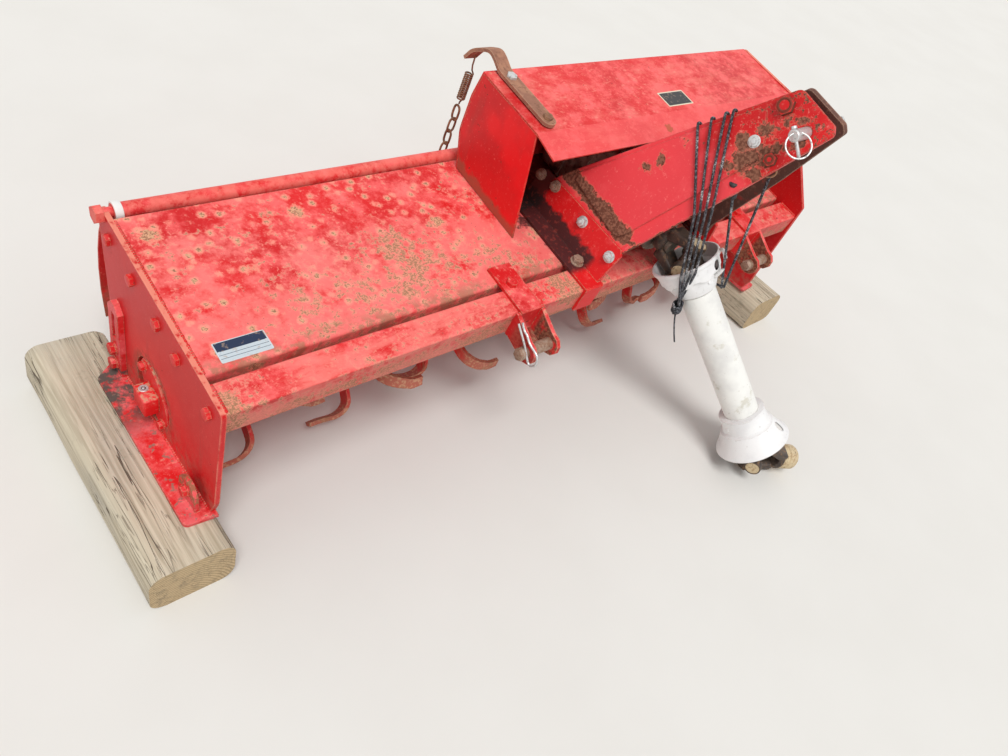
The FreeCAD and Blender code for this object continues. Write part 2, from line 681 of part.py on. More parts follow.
def yoke(hub_length, cap_sides=0):
    """A forged yoke drawn along local Z from the cross, its ears and round bearing caps along local X."""
    tip = EAR_R * 0.6
    root = YOKE_BASE + 6
    fork = [(-EAR_OUT, -EAR_R, 0), (-EAR_OUT, 18, 0), (-HUB_R - 3, YOKE_BASE - 6, 0), (-HUB_R, root, 0),
            (HUB_R, root, 0), (HUB_R + 3, YOKE_BASE - 6, 0), (EAR_OUT, 18, 0), (EAR_OUT, -EAR_R, 0),
            (EAR_IN, -EAR_R, 0), (EAR_IN, YOKE_BASE - 17, 0), (EAR_IN - 12, YOKE_BASE - 5, 0),
            (12 - EAR_IN, YOKE_BASE - 5, 0), (-EAR_IN, YOKE_BASE - 17, 0), (-EAR_IN, -EAR_R, 0)]
    side = [(-tip, -EAR_R, 0), (tip, -EAR_R, 0), (EAR_R, -tip, 0), (EAR_R + 3, root, 0),
            (-EAR_R - 3, root, 0), (-EAR_R, -tip, 0)]
    front = prism(fork, lambda a, b: V(a, -EAR_OUT, b), V(0, 2 * EAR_OUT, 0))
    flank = prism(side, lambda a, b: V(-EAR_OUT, a, b), V(2 * EAR_OUT, 0, 0))
    hub = many_sided(V(0, 0, YOKE_BASE - 1), LZ, hub_length - YOKE_BASE + 1, HUB_R, 20)
    caps = []
    for side in (-1, 1):
        place = (V(side * CAP_OUT, 0, 0), V(-side, 0, 0), CAP_OUT - EAR_IN - 3, CROSS_R)
        caps.append(many_sided(*place, cap_sides) if cap_sides else rod(*place))
    return joined(front.common(flank), hub, *caps)


def cross():
    """The cross between the ears, its arms along local X and Y."""
    reach = EAR_IN - 0.3
    arm_x = many_sided(V(-reach, 0, 0), LX, 2 * reach, CROSS_R - 2, 12)
    arm_y = many_sided(V(0, -reach, 0), V(0, 1, 0), 2 * reach, CROSS_R - 2, 12)
    half = CROSS_R + 3
    body = Part.makeBox(2 * half, 2 * half, 2 * half, V(-half, -half, -half))
    return joined(arm_x, arm_y, body)


def inner_bar():
    return many_sided(V(0, 0, HUB_END), LZ, 310 - HUB_END, STEEL_BAR_R, 4)


def outer_tube():
    start, long = V(0, 0, 160), REACH - HUB_END - 160
    return many_sided(start, LZ, long, STEEL_TUBE_R, 4).cut(many_sided(start, LZ, long, STEEL_BAR_R + 1, 4))


def far_yoke():
    turned = yoke(HUB_END)
    turned.rotate(V(0, 0, 0), LX, 180)
    turned.translate(V(0, 0, REACH))
    return turned


W = GUARD_WALL
SEAT_R = HUB_R + 0.3         # the guards run on the yokes' hubs
SEAM = 60.0
NEAR_BELL = [(NEAR_BELL_R - W, -5), (NEAR_BELL_R, -5), (NEAR_BELL_R, 5), (48, 38), (45, SEAM + 2), (SEAT_R, SEAM + 2),
             (SEAT_R, SEAM - 1), (42, SEAM - 1), (42, 46)]
TUBE_IN = [(SEAT_R, SEAM + 2.2), (GUARD_INNER_R, SEAM + 2.2), (GUARD_INNER_R, 330), (GUARD_INNER_R - W, 330),
           (GUARD_INNER_R - W, 70), (SEAT_R, 70)]
LAST = REACH - 104
TUBE_OUT = [(GUARD_INNER_R + SLIDE_GAP, SEAM + 5), (GUARD_R, SEAM + 5), (GUARD_R, LAST), (GUARD_INNER_R + SLIDE_GAP, LAST)]
COLLAR_R = GUARD_R + 11
FAR_BELL = [(GUARD_R + 0.3, REACH - 122), (COLLAR_R, REACH - 122), (COLLAR_R + 3, REACH - 72), (FAR_BELL_R, REACH - 25),
            (FAR_BELL_R, REACH - 18), (FAR_BELL_R - W, REACH - 18), (COLLAR_R, REACH - 75), (COLLAR_R, REACH - 96),
            (SEAT_R, REACH - 96), (SEAT_R, LAST + 0.3), (GUARD_R + 0.3, LAST + 0.3)]

PARTS["near_yoke"] = put(yoke(HUB_END), ON_SHAFT)
PARTS["shaft_bar_inner"] = put(inner_bar(), ON_SHAFT)
PARTS["guard_bell_near"] = put(turned_shell(NEAR_BELL, GUARD_SIDES), ON_SHAFT)
PARTS["guard_tube_inner"] = put(turned_shell(TUBE_IN, GUARD_SIDES), ON_SHAFT)
PARTS["guard_tube_outer"] = put(turned_shell(TUBE_OUT, GUARD_SIDES), ON_SHAFT)
PARTS["guard_bell_far"] = put(turned_shell(FAR_BELL, GUARD_SIDES), ON_SHAFT)
PARTS["shaft_tube_outer"] = put(outer_tube(), ON_SHAFT)
PARTS["far_yoke"] = put(far_yoke(), ON_SHAFT)

INPUT = basis(JOINT, OFF_DECK, UP_SLOPE)
PARTS["input_yoke"] = put(yoke(INPUT_YOKE, 12), INPUT)
PARTS["near_cross"] = put(cross(), basis(JOINT, OFF_DECK, OFF_DECK.cross(LIFT_AXIS)))

TILT = math.radians(YOKE_DROOP)
LEVEL = V(SHAFT.x, SHAFT.y, 0)
LEVEL.normalize()
DROOPED = LEVEL * math.cos(TILT) - V(0, 0, 1) * math.sin(TILT)
CROSS_UP = DROOPED.cross(LIFT_AXIS)
CROSS_UP.normalize()
SIDE = math.radians(YOKE_ASIDE)
YOKE_WAY = (DROOPED * math.cos(SIDE) + LIFT_AXIS * math.sin(SIDE))
YOKE_WAY = YOKE_WAY - CROSS_UP * YOKE_WAY.dot(CROSS_UP)
YOKE_WAY.normalize()
PARTS["far_cross"] = put(cross(), basis(FAR_JOINT, LIFT_AXIS, LIFT_AXIS.cross(CROSS_UP)))
TRACTOR_END = basis(FAR_JOINT, CROSS_UP, YOKE_WAY)
sleeve = many_sided(V(0, 0, COLLAR_FROM), LZ, HUB_END - COLLAR_FROM, HUB_R, 20)
sleeve = sleeve.cut(rod(V(0, 0, COLLAR_FROM - 1), LZ, HUB_END, BORE_R))
PARTS["tractor_yoke"] = put(yoke(COLLAR_FROM), TRACTOR_END)
PARTS["tractor_coupling"] = put(sleeve, TRACTOR_END)


# Hook strap, spring and chain that carry the flap

EYE = on_deck(HOOK_X)(EYE_S, EYE_H)
LUG = V(HOOK_X, LUG_Y, LUG_Z)
HANG = LUG - EYE
HANG_LONG = HANG.Length
HANG.normalize()


def hook_strap():
    """A flat bar along the shield's edge that rises over its rear and turns down to an eye."""
    t = HOOK_SHEET
    lie = SHIELD_H + t + 0.5
    path = [(EYE_S + 13, EYE_H - 13, 0), (EYE_S + 2, EYE_H + 16, 0), (EYE_S - 12, EYE_H + 29, 0),
            (EYE_S - 40, lie + 22, 0), (EYE_S - 54, lie + 17, 0), (SHIELD_BACK - 16, lie, 0), (STRAP_FROM, lie, 0)]
    half = HOOK_WIDE / 2
    strap = prism(sheet(path, t), on_deck(HOOK_X - half), V(HOOK_WIDE, 0, 0))
    through = UP_SLOPE * 0.9 + OFF_DECK * 0.45
    through.normalize()
    return strap.cut(many_sided(EYE - through * 30, through, 60, 5, 8))


def flat_run(points, radius, sides, closed):
    """A bar with flat sides along straight runs, mitred at each corner."""
    count = len(points)
    runs = []
    for i in range(count if closed else count - 1):
        run = points[(i + 1) % count] - points[i]
        run.normalize()
        runs.append(run)
    first = runs[0].cross(V(0.31, 0.17, 0.94))
    first.normalize()
    second = runs[0].cross(first)
    ring_points = []
    for k in range(sides):
        turn = 2 * math.pi * (k + 0.5) / sides
        ring_points.append(points[0] + (first * math.cos(turn) + second * math.sin(turn)) * radius)
    rings = []
    for i in range(count):
        before = runs[i - 1] if (i > 0 or closed) else runs[0]
        after = runs[i] if i < len(runs) else runs[-1]
        plane = before + after
        along = before if i > 0 else after
        ring_points = [q + along * ((points[i] - q).dot(plane) / along.dot(plane)) for q in ring_points]
        rings.append(ring_points)
    faces = []
    for i in range(len(runs)):
        here, following = rings[i], rings[(i + 1) % count]
        for k in range(sides):
            j = (k + 1) % sides
            faces.append(Part.Face(Part.makePolygon([here[k], here[j], following[j], following[k], here[k]])))
    if not closed:
        for end in (rings[0], rings[-1]):
            faces.append(Part.Face(Part.makePolygon(end + end[:1])))
    return closed_body(faces)


SPRING_FROM = 34.0           # down the hanging line from the eye
TURNS = 13


def flap_spring():
    """A closed coil between two straight hooks."""
    steps = 6
    points = [V(0, 0, 0), V(0, 0, SPRING_FROM - 6)]
    for i in range(TURNS * steps + 1):
        turn = 2 * math.pi * i / steps
        points.append(V(SPRING_R * math.cos(turn), SPRING_R * math.sin(turn), SPRING_FROM + SPRING_PITCH * i / steps))
    low = SPRING_FROM + SPRING_PITCH * TURNS
    points += [V(0, 0, low + 5), V(0, 0, low + 10.6)]
    return put(flat_run(points, SPRING_WIRE * 0.55, 4, False), basis(EYE, ALONG, HANG))


CHAIN_FROM = SPRING_FROM + SPRING_PITCH * TURNS + 18


def flap_chain():
    """Long links, each turned a quarter from the last, down to the flap's lug."""
    long = (HANG_LONG - CHAIN_FROM) / LINKS + 2 * LINK_WIRE
    half = (LINK_WIDE - LINK_WIRE) / 2
    links = []
    for i in range(LINKS):
        start = CHAIN_FROM - LINK_WIRE + i * (long - 2 * LINK_WIRE)
        top, foot = start, start + long - LINK_WIRE
        loop = [(half, top + half), (half, foot - half), (half * 0.5, foot), (-half * 0.5, foot),
                (-half, foot - half), (-half, top + half), (-half * 0.5, top), (half * 0.5, top)]
        turned = (LINKS - 1 - i) % 2
        points = [V(0, a, b) if turned else V(a, 0, b) for a, b in loop]
        links.append(flat_run(points, LINK_WIRE / 2, 6, True))
    return put(Part.makeCompound(links), basis(EYE, ALONG, HANG))


# Elastic ties from the mast's edge, over the bell, round under the guard and up inside the mast

TIE_R = 2.4
REAR_EDGE = UP_SLOPE * 0.844 + OFF_DECK * 0.537
FRONT_EDGE = UP_SLOPE * -0.940 - OFF_DECK * 0.342
TIE_HOOKS = [                # rear edge s, h; front edge s, h; angle round the shaft over the bell
    (66, 291, -39, 200, 169),
    (52, 313, -44, 213, 165),
    (30, 347, -49, 227, 160),
    (17, 368, -53, 238, 156),
]
TIE_ENDS = [(-79, 312), (-52, 262)]
CRIMP = (70, 53, -146)       # along the shaft, off it, and round it in degrees
SLING = [(71, 42, -115), (72, 40, -75), (73, 40, -35), (73, 40, 5), (72, 41, 45), (71, 44, 74)]


def round_shaft(along, off, degrees):
    turn = math.radians(degrees)
    return JOINT + SHAFT * along + (LIFT_AXIS * math.cos(turn) + SHAFT.cross(LIFT_AXIS) * math.sin(turn)) * off


def tie_cords():
    cords = []
    inside, outside = on_mast(-MAST_SHEET - 5), on_mast(PANEL_PROUD + TIE_R + 0.6)
    for i, (s, h, s_front, h_front, degrees) in enumerate(TIE_HOOKS):
        aside = (i - 1.5) * 5.4
        points = [inside(s - 14, h - 22), inside(s, h) + REAR_EDGE * 4, outside(s, h) + REAR_EDGE * 4,
                  outside(s_front, h_front) + FRONT_EDGE * 4, round_shaft(3, NEAR_BELL_R + 6, degrees),
                  round_shaft(CRIMP[0] + 2 * i, CRIMP[1], CRIMP[2] + aside)]
        cords.append(flat_run(points, TIE_R, 4, False))
    sling = [round_shaft(*place) for place in [CRIMP] + SLING]
    cords.append(flat_run(sling, TIE_R, 4, False))
    for i, (s, h) in enumerate(TIE_ENDS):
        along, off, degrees = SLING[-1]
        low = round_shaft(along + 2.5, off + 0.5 + 4.6 * (1 - i), degrees + 3)
        cords.append(flat_run([low, on_mast(-MAST_SHEET - 6)(s, h)], TIE_R, 4, False))
    return Part.makeCompound(cords)


PARTS["hook_strap"] = hook_strap()
PARTS["tie_cords"] = tie_cords()
PARTS["flap_spring"] = flap_spring()
PARTS["flap_chain"] = flap_chain()


# The whole machine, moved so that the origin lies under the middle of its box

whole = Part.makeCompound(list(PARTS.values())).BoundBox
SHIFT = V(-(whole.XMin + whole.XMax) / 2, -(whole.YMin + whole.YMax) / 2, -whole.ZMin)
os.makedirs("parts", exist_ok=True)
for name, shape in PARTS.items():
    moved = shape.copy()
    moved.translate(SHIFT)
    moved.exportStep("parts/" + name + ".step")

print("shift", SHIFT.x, SHIFT.y, SHIFT.z)
print("size", whole.XLength, whole.YLength, whole.ZLength)
for label, point in (("joint", JOINT), ("far_joint", FAR_JOINT), ("yoke_end", FAR_JOINT + YOKE_WAY * HUB_END),
                     ("hinge", V(WIDTH / 2, HINGE_Y, HINGE_Z)), ("rotor", V(WIDTH / 2, ROTOR_Y, ROTOR_Z)),
                     ("pin_left", V(LEFT_X, LOWER_Y, LOWER_Z)), ("pin_right", V(RIGHT_X, LOWER_Y, LOWER_Z)),
                     ("top_pin", on_deck(HITCH_X)(TOP_PIN_S, TOP_PIN_H)), ("chain_top", EYE + HANG * CHAIN_FROM),
                     ("tie_top", on_mast(0)(TIE_HOOKS[-1][0], TIE_HOOKS[-1][1]))):
    print(label, *(round(c, 4) for c in point + SHIFT))
for label, axis in (("shaft", SHAFT), ("lift", LIFT_AXIS), ("cross_up", CROSS_UP), ("yoke_way", YOKE_WAY)):
    print(label, *(round(c, 7) for c in axis))
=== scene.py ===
"""The looks of a tractor-mounted rotary tiller on two timber bearers, piece by piece over its CAD frame."""

# The machine's own places are millimetres: x along the beam from the left end plate, y back from the beam and
# z up from the soles, or s and h along and off its sloping deck. The frame keeps metres about its middle.
import math

import bmesh
import bpy
from mathutils import Matrix, Vector, noise


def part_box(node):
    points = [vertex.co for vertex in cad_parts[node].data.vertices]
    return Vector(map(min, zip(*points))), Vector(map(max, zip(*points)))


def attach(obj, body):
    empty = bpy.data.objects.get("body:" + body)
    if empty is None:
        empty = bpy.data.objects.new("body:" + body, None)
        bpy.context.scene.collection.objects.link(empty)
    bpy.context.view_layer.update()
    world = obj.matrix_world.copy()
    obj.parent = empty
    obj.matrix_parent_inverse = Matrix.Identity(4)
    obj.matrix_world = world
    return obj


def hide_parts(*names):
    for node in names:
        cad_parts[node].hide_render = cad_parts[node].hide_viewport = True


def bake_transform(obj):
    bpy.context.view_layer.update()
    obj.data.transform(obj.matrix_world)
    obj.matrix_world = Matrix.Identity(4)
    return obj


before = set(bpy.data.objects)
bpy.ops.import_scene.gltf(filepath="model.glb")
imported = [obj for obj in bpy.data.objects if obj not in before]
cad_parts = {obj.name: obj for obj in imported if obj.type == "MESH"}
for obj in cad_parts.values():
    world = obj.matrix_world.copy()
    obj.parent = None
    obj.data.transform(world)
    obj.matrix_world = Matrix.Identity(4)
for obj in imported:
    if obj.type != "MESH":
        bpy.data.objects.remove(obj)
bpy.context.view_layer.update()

MM = 0.001
SLOPE = math.radians(8.11)
UP_SLOPE = Vector((0, math.cos(SLOPE), math.sin(SLOPE)))
OFF_DECK = Vector((0, -math.sin(SLOPE), math.cos(SLOPE)))
ALONG = Vector((1, 0, 0))


def machine(x, y, z):
    return Vector((x - 710.0, y - 15.0956, z + 95.0)) * MM


def on_deck(x, s, h):
    return machine(x, 0, 236) + (UP_SLOPE * s + OFF_DECK * h) * MM


# The camera is held at head height off the left front corner and looks along and down over the machine.
# Its frame is 1008 by 756 and its focal length 775 of those picture points.
look = Vector((0.6031, 0.405, -0.6871)).normalized()
aside = Vector((0.7378, -0.611, 0.2872))
aside = (aside - look * aside.dot(look)).normalized()
above = aside.cross(look)
lens = bpy.data.cameras.new("camera")
lens.sensor_width = 36.0
lens.lens = 36.0 * 775 / 1008
camera = bpy.data.objects.new("camera", lens)
stand = Matrix((aside, above, -look)).transposed().to_4x4()
camera.matrix_world = Matrix.Translation(machine(-310, -578.5, 1040)) @ stand
bpy.context.scene.collection.objects.link(camera)
bpy.context.scene.camera = camera
bpy.context.scene.view_settings.view_transform = "Standard"


# The studio: a pale matt floor, a white surround that lights evenly, and one broad lamp high on the left.
def tint(red, green, blue):
    """A colour from its usual 0 to 255 values."""
    shares = [level / 255 for level in (red, green, blue)]
    return tuple(share / 12.92 if share < 0.04045 else ((share + 0.055) / 1.055) ** 2.4 for share in shares) + (1.0,)


class Value:
    """A number that varies over a surface; an expression on it adds Math nodes."""

    def __init__(self, finish, socket):
        self.finish = finish
        self.socket = socket

    def __add__(self, other):
        return self.finish.node("ShaderNodeMath", {"operation": "ADD"}, {0: self, 1: other})

    def __sub__(self, other):
        return self.finish.node("ShaderNodeMath", {"operation": "SUBTRACT"}, {0: self, 1: other})

    def __rsub__(self, other):
        return self.finish.node("ShaderNodeMath", {"operation": "SUBTRACT"}, {0: other, 1: self})

    def __mul__(self, other):
        return self.finish.node("ShaderNodeMath", {"operation": "MULTIPLY"}, {0: self, 1: other})

    __radd__ = __add__
    __rmul__ = __mul__


class Finish:
    """A material laid up in coats, each with a mask, a colour, a roughness and a height in millimetres."""

    def __init__(self, name, colour, rough, metal=0.0):
        self.made = bpy.data.materials.new(name)
        self.made.use_nodes = True
        self.tree = self.made.node_tree
        self.shader = self.tree.nodes["Principled BSDF"]
        self.place = self.node("ShaderNodeTexCoord", out="Object")
        self.colour = colour
        self.rough = rough
        self.metal = metal
        self.height = 0.0
        self.soft = 0.0

    def node(self, kind, settings=None, values=None, out=0):
        made = self.tree.nodes.new(kind)
        for name, setting in (settings or {}).items():
            setattr(made, name, setting)
        for name, value in (values or {}).items():
            self.feed(made.inputs[name], value)
        return Value(self, made.outputs[out])

    def feed(self, socket, value):
        if isinstance(value, Value):
            self.tree.links.new(value.socket, socket)
        else:
            socket.default_value = value

    def mix(self, mask, under, over):
        return self.node("ShaderNodeMix", {"data_type": "RGBA"}, {0: mask, 6: under, 7: over}, out=2)

    def cloud(self, size, detail=3.0, rough=0.55, stretch=None):
        """Values about a half in soft spots that many millimetres across."""
        place = self.place
        if stretch:
            place = self.node("ShaderNodeMapping", {}, {"Vector": place, "Scale": stretch})
        values = {"Vector": place, "Scale": 1000.0 / size, "Detail": detail, "Roughness": rough}
        return self.node("ShaderNodeTexNoise", {}, values)

    def scatter(self, size):
        """Millimetres from the nearest of many points strewn that far apart."""
        values = {"Vector": self.place, "Scale": 1000.0 / size}
        return self.node("ShaderNodeTexVoronoi", {}, values, out="Distance") * size

    def step(self, value, low, high):
        values = {"Value": value, "From Min": low, "From Max": high}
        return self.node("ShaderNodeMapRange", {"interpolation_type": "SMOOTHSTEP"}, values)

    def facing(self, way):
        normal = self.node("ShaderNodeTexCoord", out="Normal")
        return self.node("ShaderNodeVectorMath", {"operation": "DOT_PRODUCT"}, {0: normal, 1: way}, out="Value")

    def past(self, point, way):
        """Millimetres beyond a point along a direction."""
        ahead = self.node("ShaderNodeVectorMath", {"operation": "SUBTRACT"}, {0: self.place, 1: point})
        return self.node("ShaderNodeVectorMath", {"operation": "DOT_PRODUCT"}, {0: ahead, 1: way}, out="Value") * 1000

    def away(self, point):
        """Millimetres from a point."""
        values = {0: self.place, 1: point}
        return self.node("ShaderNodeVectorMath", {"operation": "DISTANCE"}, values, out="Value") * 1000

    def edges(self, size):
        """One along the outer edges and in the corners, nothing on the flats."""
        round_over = self.node("ShaderNodeBevel", {"samples": 6}, {"Radius": size * MM})
        flat = self.node("ShaderNodeNewGeometry", out="Normal")
        same = self.node("ShaderNodeVectorMath", {"operation": "DOT_PRODUCT"}, {0: round_over, 1: flat}, out="Value")
        return self.step(1 - same, 0.01, 0.12)

    def lay(self, mask, colour, rough=None, metal=None, proud=0.0):
        self.colour = self.mix(mask, self.colour, colour)
        if rough is not None:
            self.rough = mask * rough + (1 - mask) * self.rough
        if metal is not None:
            self.metal = mask * metal + (1 - mask) * self.metal
        if proud:
            self.height = mask * proud + self.height

    def done(self):
        self.feed(self.shader.inputs["Base Color"], self.colour)
        self.feed(self.shader.inputs["Roughness"], self.rough)
        self.feed(self.shader.inputs["Metallic"], self.metal)
        if isinstance(self.height, Value):
            values = {"Strength": 1.0, "Distance": MM, "Height": self.height}
            if self.soft:
                values["Normal"] = self.node("ShaderNodeBevel", {"samples": 6}, {"Radius": self.soft * MM})
            self.feed(self.shader.inputs["Normal"], self.node("ShaderNodeBump", {}, values))
        return self


floor_finish = Finish("studio_floor", tint(226, 224, 219), 0.9)
floor_finish.lay(floor_finish.step(floor_finish.cloud(300, 4), 0.3, 0.7) * 0.25, tint(216, 213, 207))
floor_finish.done()
ground = bmesh.new()
bmesh.ops.create_grid(ground, x_segments=1, y_segments=1, size=9.0)
ground_mesh = bpy.data.meshes.new("floor")
ground.to_mesh(ground_mesh)
ground.free()
ground_mesh.materials.append(floor_finish.made)
studio_floor = bpy.data.objects.new("floor", ground_mesh)
bpy.context.scene.collection.objects.link(studio_floor)

surround = bpy.data.worlds.new("surround")
surround.use_nodes = True
bpy.context.scene.world = surround
rays = surround.node_tree.nodes.new("ShaderNodeLightPath")
seen = surround.node_tree.nodes.new("ShaderNodeMath")
seen.operation = "MAXIMUM"
surround.node_tree.links.new(rays.outputs["Is Camera Ray"], seen.inputs[0])
shown = surround.node_tree.nodes.new("ShaderNodeMath")
shown.operation = "MAXIMUM"
surround.node_tree.links.new(rays.outputs["Is Glossy Ray"], shown.inputs[0])
surround.node_tree.links.new(rays.outputs["Is Transmission Ray"], shown.inputs[1])
surround.node_tree.links.new(shown.outputs[0], seen.inputs[1])
level = surround.node_tree.nodes.new("ShaderNodeMapRange")
level.inputs["To Min"].default_value = 0.62
level.inputs["To Max"].default_value = 1.0
surround.node_tree.links.new(seen.outputs[0], level.inputs["Value"])
surround.node_tree.nodes["Background"].inputs["Color"].default_value = (1.0, 1.0, 1.0, 1.0)
surround.node_tree.links.new(level.outputs[0], surround.node_tree.nodes["Background"].inputs["Strength"])

sun = bpy.data.lights.new("lamp", "SUN")
sun.energy = 1.85
sun.angle = math.radians(24)
lamp = bpy.data.objects.new("lamp", sun)
lamp.matrix_world = Vector((-0.35, -0.55, 1.25)).to_track_quat("Z", "Y").to_matrix().to_4x4()
bpy.context.scene.collection.objects.link(lamp)


# Two timber bearers carry the soles: sawn softwood with round sides, weathered grey, split along the grain
# and rough at the ends where the saw left them.
def dress(finish, *names):
    for name in names:
        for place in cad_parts[name].material_slots:
            place.material = finish.made


def piece(name, form, finish, body, *stands_for, slot, crease=35):
    """The shaped mesh as a finished piece that rides on a body."""
    for face in form.faces:
        face.smooth = True
    for edge in form.edges:
        edge.smooth = len(edge.link_faces) == 2 and edge.calc_face_angle(0.0) < math.radians(crease)
    mesh = bpy.data.meshes.new(name)
    form.to_mesh(mesh)
    form.free()
    mesh.materials.append(finish.made)
    thing = bpy.data.objects.new(name, mesh)
    bpy.context.scene.collection.objects.link(thing)
    if body:
        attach(thing, body)
    if stands_for:
        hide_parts(*stands_for)
    return thing


timber = Finish("weathered_timber", tint(200, 188, 164), 0.85)
for size, stretch, share, colour in ((40, (1, 0.1, 1), 0.6, (168, 156, 134)), (9, (1, 0.03, 1), 0.6, (156, 142, 118)),
                                     (4, (1, 0.03, 1), 0.5, (220, 210, 188)), (150, (1, 0.4, 1), 0.5, (172, 168, 158))):
    timber.lay(timber.step(timber.cloud(size, 4, 0.6, stretch), 0.46, 0.64) * share, tint(*colour))
for size, wide, share, deep in ((30, 0.007, 0.9, -1.8), (13, 0.010, 0.55, -0.7)):
    run = timber.cloud(size, 3, 0.6, (1, 0.045, 1)) - 0.5
    split = timber.step(run * run, wide ** 2, wide ** 2 * 0.3) * timber.step(timber.cloud(70, 2, 0.5, (1, 0.3, 1)), 0.4, 0.5)
    timber.lay(split * share, tint(88, 76, 62), 0.95, proud=deep)
timber.lay(timber.step(timber.cloud(60, 4, 0.7), 0.6, 0.7) * 0.35, tint(128, 122, 104))
sawn = timber.step(timber.facing((0, 1, 0)) * timber.facing((0, 1, 0)), 0.5, 0.8)
rings = timber.node("ShaderNodeTexWave", {"wave_type": "RINGS", "rings_direction": "Y"},
                    {"Vector": timber.node("ShaderNodeMapping", {}, {"Vector": timber.place, "Location": (0.79, 0, 0.03)}),
                     "Scale": 62.0, "Distortion": 1.5, "Detail": 2.0})
timber.lay(sawn, timber.mix(timber.step(rings, 0.2, 0.9), tint(196, 172, 134), tint(170, 146, 112)), 0.9)
timber.lay(sawn * timber.step(timber.cloud(16, 4), 0.5, 0.66) * 0.6, tint(148, 130, 104), 0.9)
timber.height = timber.cloud(3, 3, 0.6, (1, 0.06, 1)) * 0.7 + timber.height
timber.done()

for side in ("timber_left", "timber_right"):
    low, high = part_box(side)
    bearer = bmesh.new()
    bmesh.ops.create_cube(bearer, size=1.0)
    size = high - low
    bmesh.ops.transform(bearer, matrix=Matrix.Translation((low + high) / 2) @ Matrix.Diagonal((*size, 1.0)),
                        verts=bearer.verts)
    long_edges = [e for e in bearer.edges if abs(e.verts[0].co.y - e.verts[1].co.y) > 0.1]
    bmesh.ops.bevel(bearer, geom=long_edges, offset=25 * MM, segments=6, profile=0.5, affect="EDGES", material=-1)
    for row in range(1, 48):
        cut = low.y + size.y * row / 48
        bmesh.ops.bisect_plane(bearer, geom=bearer.verts[:] + bearer.edges[:] + bearer.faces[:], dist=1e-6,
                               plane_co=(0, cut, 0), plane_no=(0, 1, 0))
    middle = (low + high) / 2
    for vert in bearer.verts:
        worn = noise.noise(Vector((vert.co.x * 24, vert.co.y * 7, vert.co.z * 24))) * 0.5 + 0.5
        flat = min(1.0, abs(abs(vert.co.z - middle.z) - size.z / 2) / 0.004)
        out = Vector((vert.co.x - middle.x, 0, vert.co.z - middle.z))
        vert.co -= out.normalized() * worn * 3.2 * MM * flat
        if abs(vert.co.y - low.y) < 1e-5:
            vert.co.y += (noise.noise(vert.co * 60) * 0.5 + 0.5) * 4 * MM
    piece(side + "_bearer", bearer, timber, "root", side, slot="timber", crease=50)


# The end plates are flat steel, painted with the rest, with bare rubbed edges. The soles under them were
# welded from flat bar, with a slotted strap at the back and a lug in front, worn dark where they slide.
def soiled(coat, field, line, share=1.0):
    """Dried soil where a field passes a line: a pale stain, and inside it a broken, grainy crust."""
    grain = coat.step(coat.cloud(3.4, 4, 0.7), 0.44, 0.58)
    coat.lay(coat.step(field, line - 0.09, line) * (0.65 * share), tint(242, 142, 126), 0.75)
    coat.lay(coat.step(field, line - 0.015, line + 0.03) * (grain * -0.45 + 0.95) * share,
             coat.mix(grain, tint(160, 120, 90), tint(216, 160, 128)), 0.95, proud=0.15)


def red_paint(name, fade=0.5, soil=0.5, rust=0.5):
    """Bright red machine enamel, bleached pink by the sun, with dried soil, chips and rusty edges."""
    coat = Finish(name, tint(220, 30, 32), 0.42)
    coat.soft = 1.2
    coat.shader.inputs["Specular IOR Level"].default_value = 0.28
    coat.lay(coat.step(coat.cloud(240, 3), 0.42, 0.64), tint(200, 24, 28))
    upward = coat.step(coat.facing((0, 0, 1)), 0.0, 0.75)
    bleached = coat.step(coat.cloud(48, 6, 0.72), 0.60 - 0.2 * fade, 0.84 - 0.2 * fade)
    coat.lay(bleached * (upward * 0.8 + 0.15), tint(244, 104, 102), 0.55)
    scuffs = coat.step(coat.cloud(7, 4, 0.7), 0.57, 0.70) * (0.35 + 0.3 * fade)
    coat.lay(scuffs * (upward * 0.7 + 0.3), tint(240, 132, 120), 0.6)
    streaks = coat.step(coat.cloud(26, 4, 0.6, (1, 1, 0.12)), 0.56, 0.74) * (1 - upward) * 0.4
    coat.lay(streaks, tint(160, 66, 58), 0.65)
    coat.lay(coat.step(coat.cloud(5, 3, 0.7), 0.63, 0.69) * 0.45, tint(240, 132, 118), 0.7)
    soiled(coat, coat.cloud(12, 3, 0.6) + (coat.cloud(200, 3) - 0.5) * 0.5 + (upward - 1) * 0.09, 0.76 - 0.1 * soil)
    grain = coat.step(coat.cloud(3, 2), 0.4, 0.62)
    worn = coat.edges(2.6) * coat.step(coat.cloud(16, 4), 0.34, 0.5)
    coat.lay(worn * rust * 0.9, coat.mix(grain, tint(150, 96, 70), tint(216, 156, 130)), 0.8)
    chips = coat.step(coat.cloud(13, 3, 0.7), 0.76 - 0.07 * rust, 0.775 - 0.07 * rust)
    coat.lay(chips, tint(110, 62, 48), 0.9, proud=-0.2)
    coat.height = coat.cloud(2.4, 2) * 0.16 + coat.cloud(55, 2) * 0.9 + coat.height
    return coat


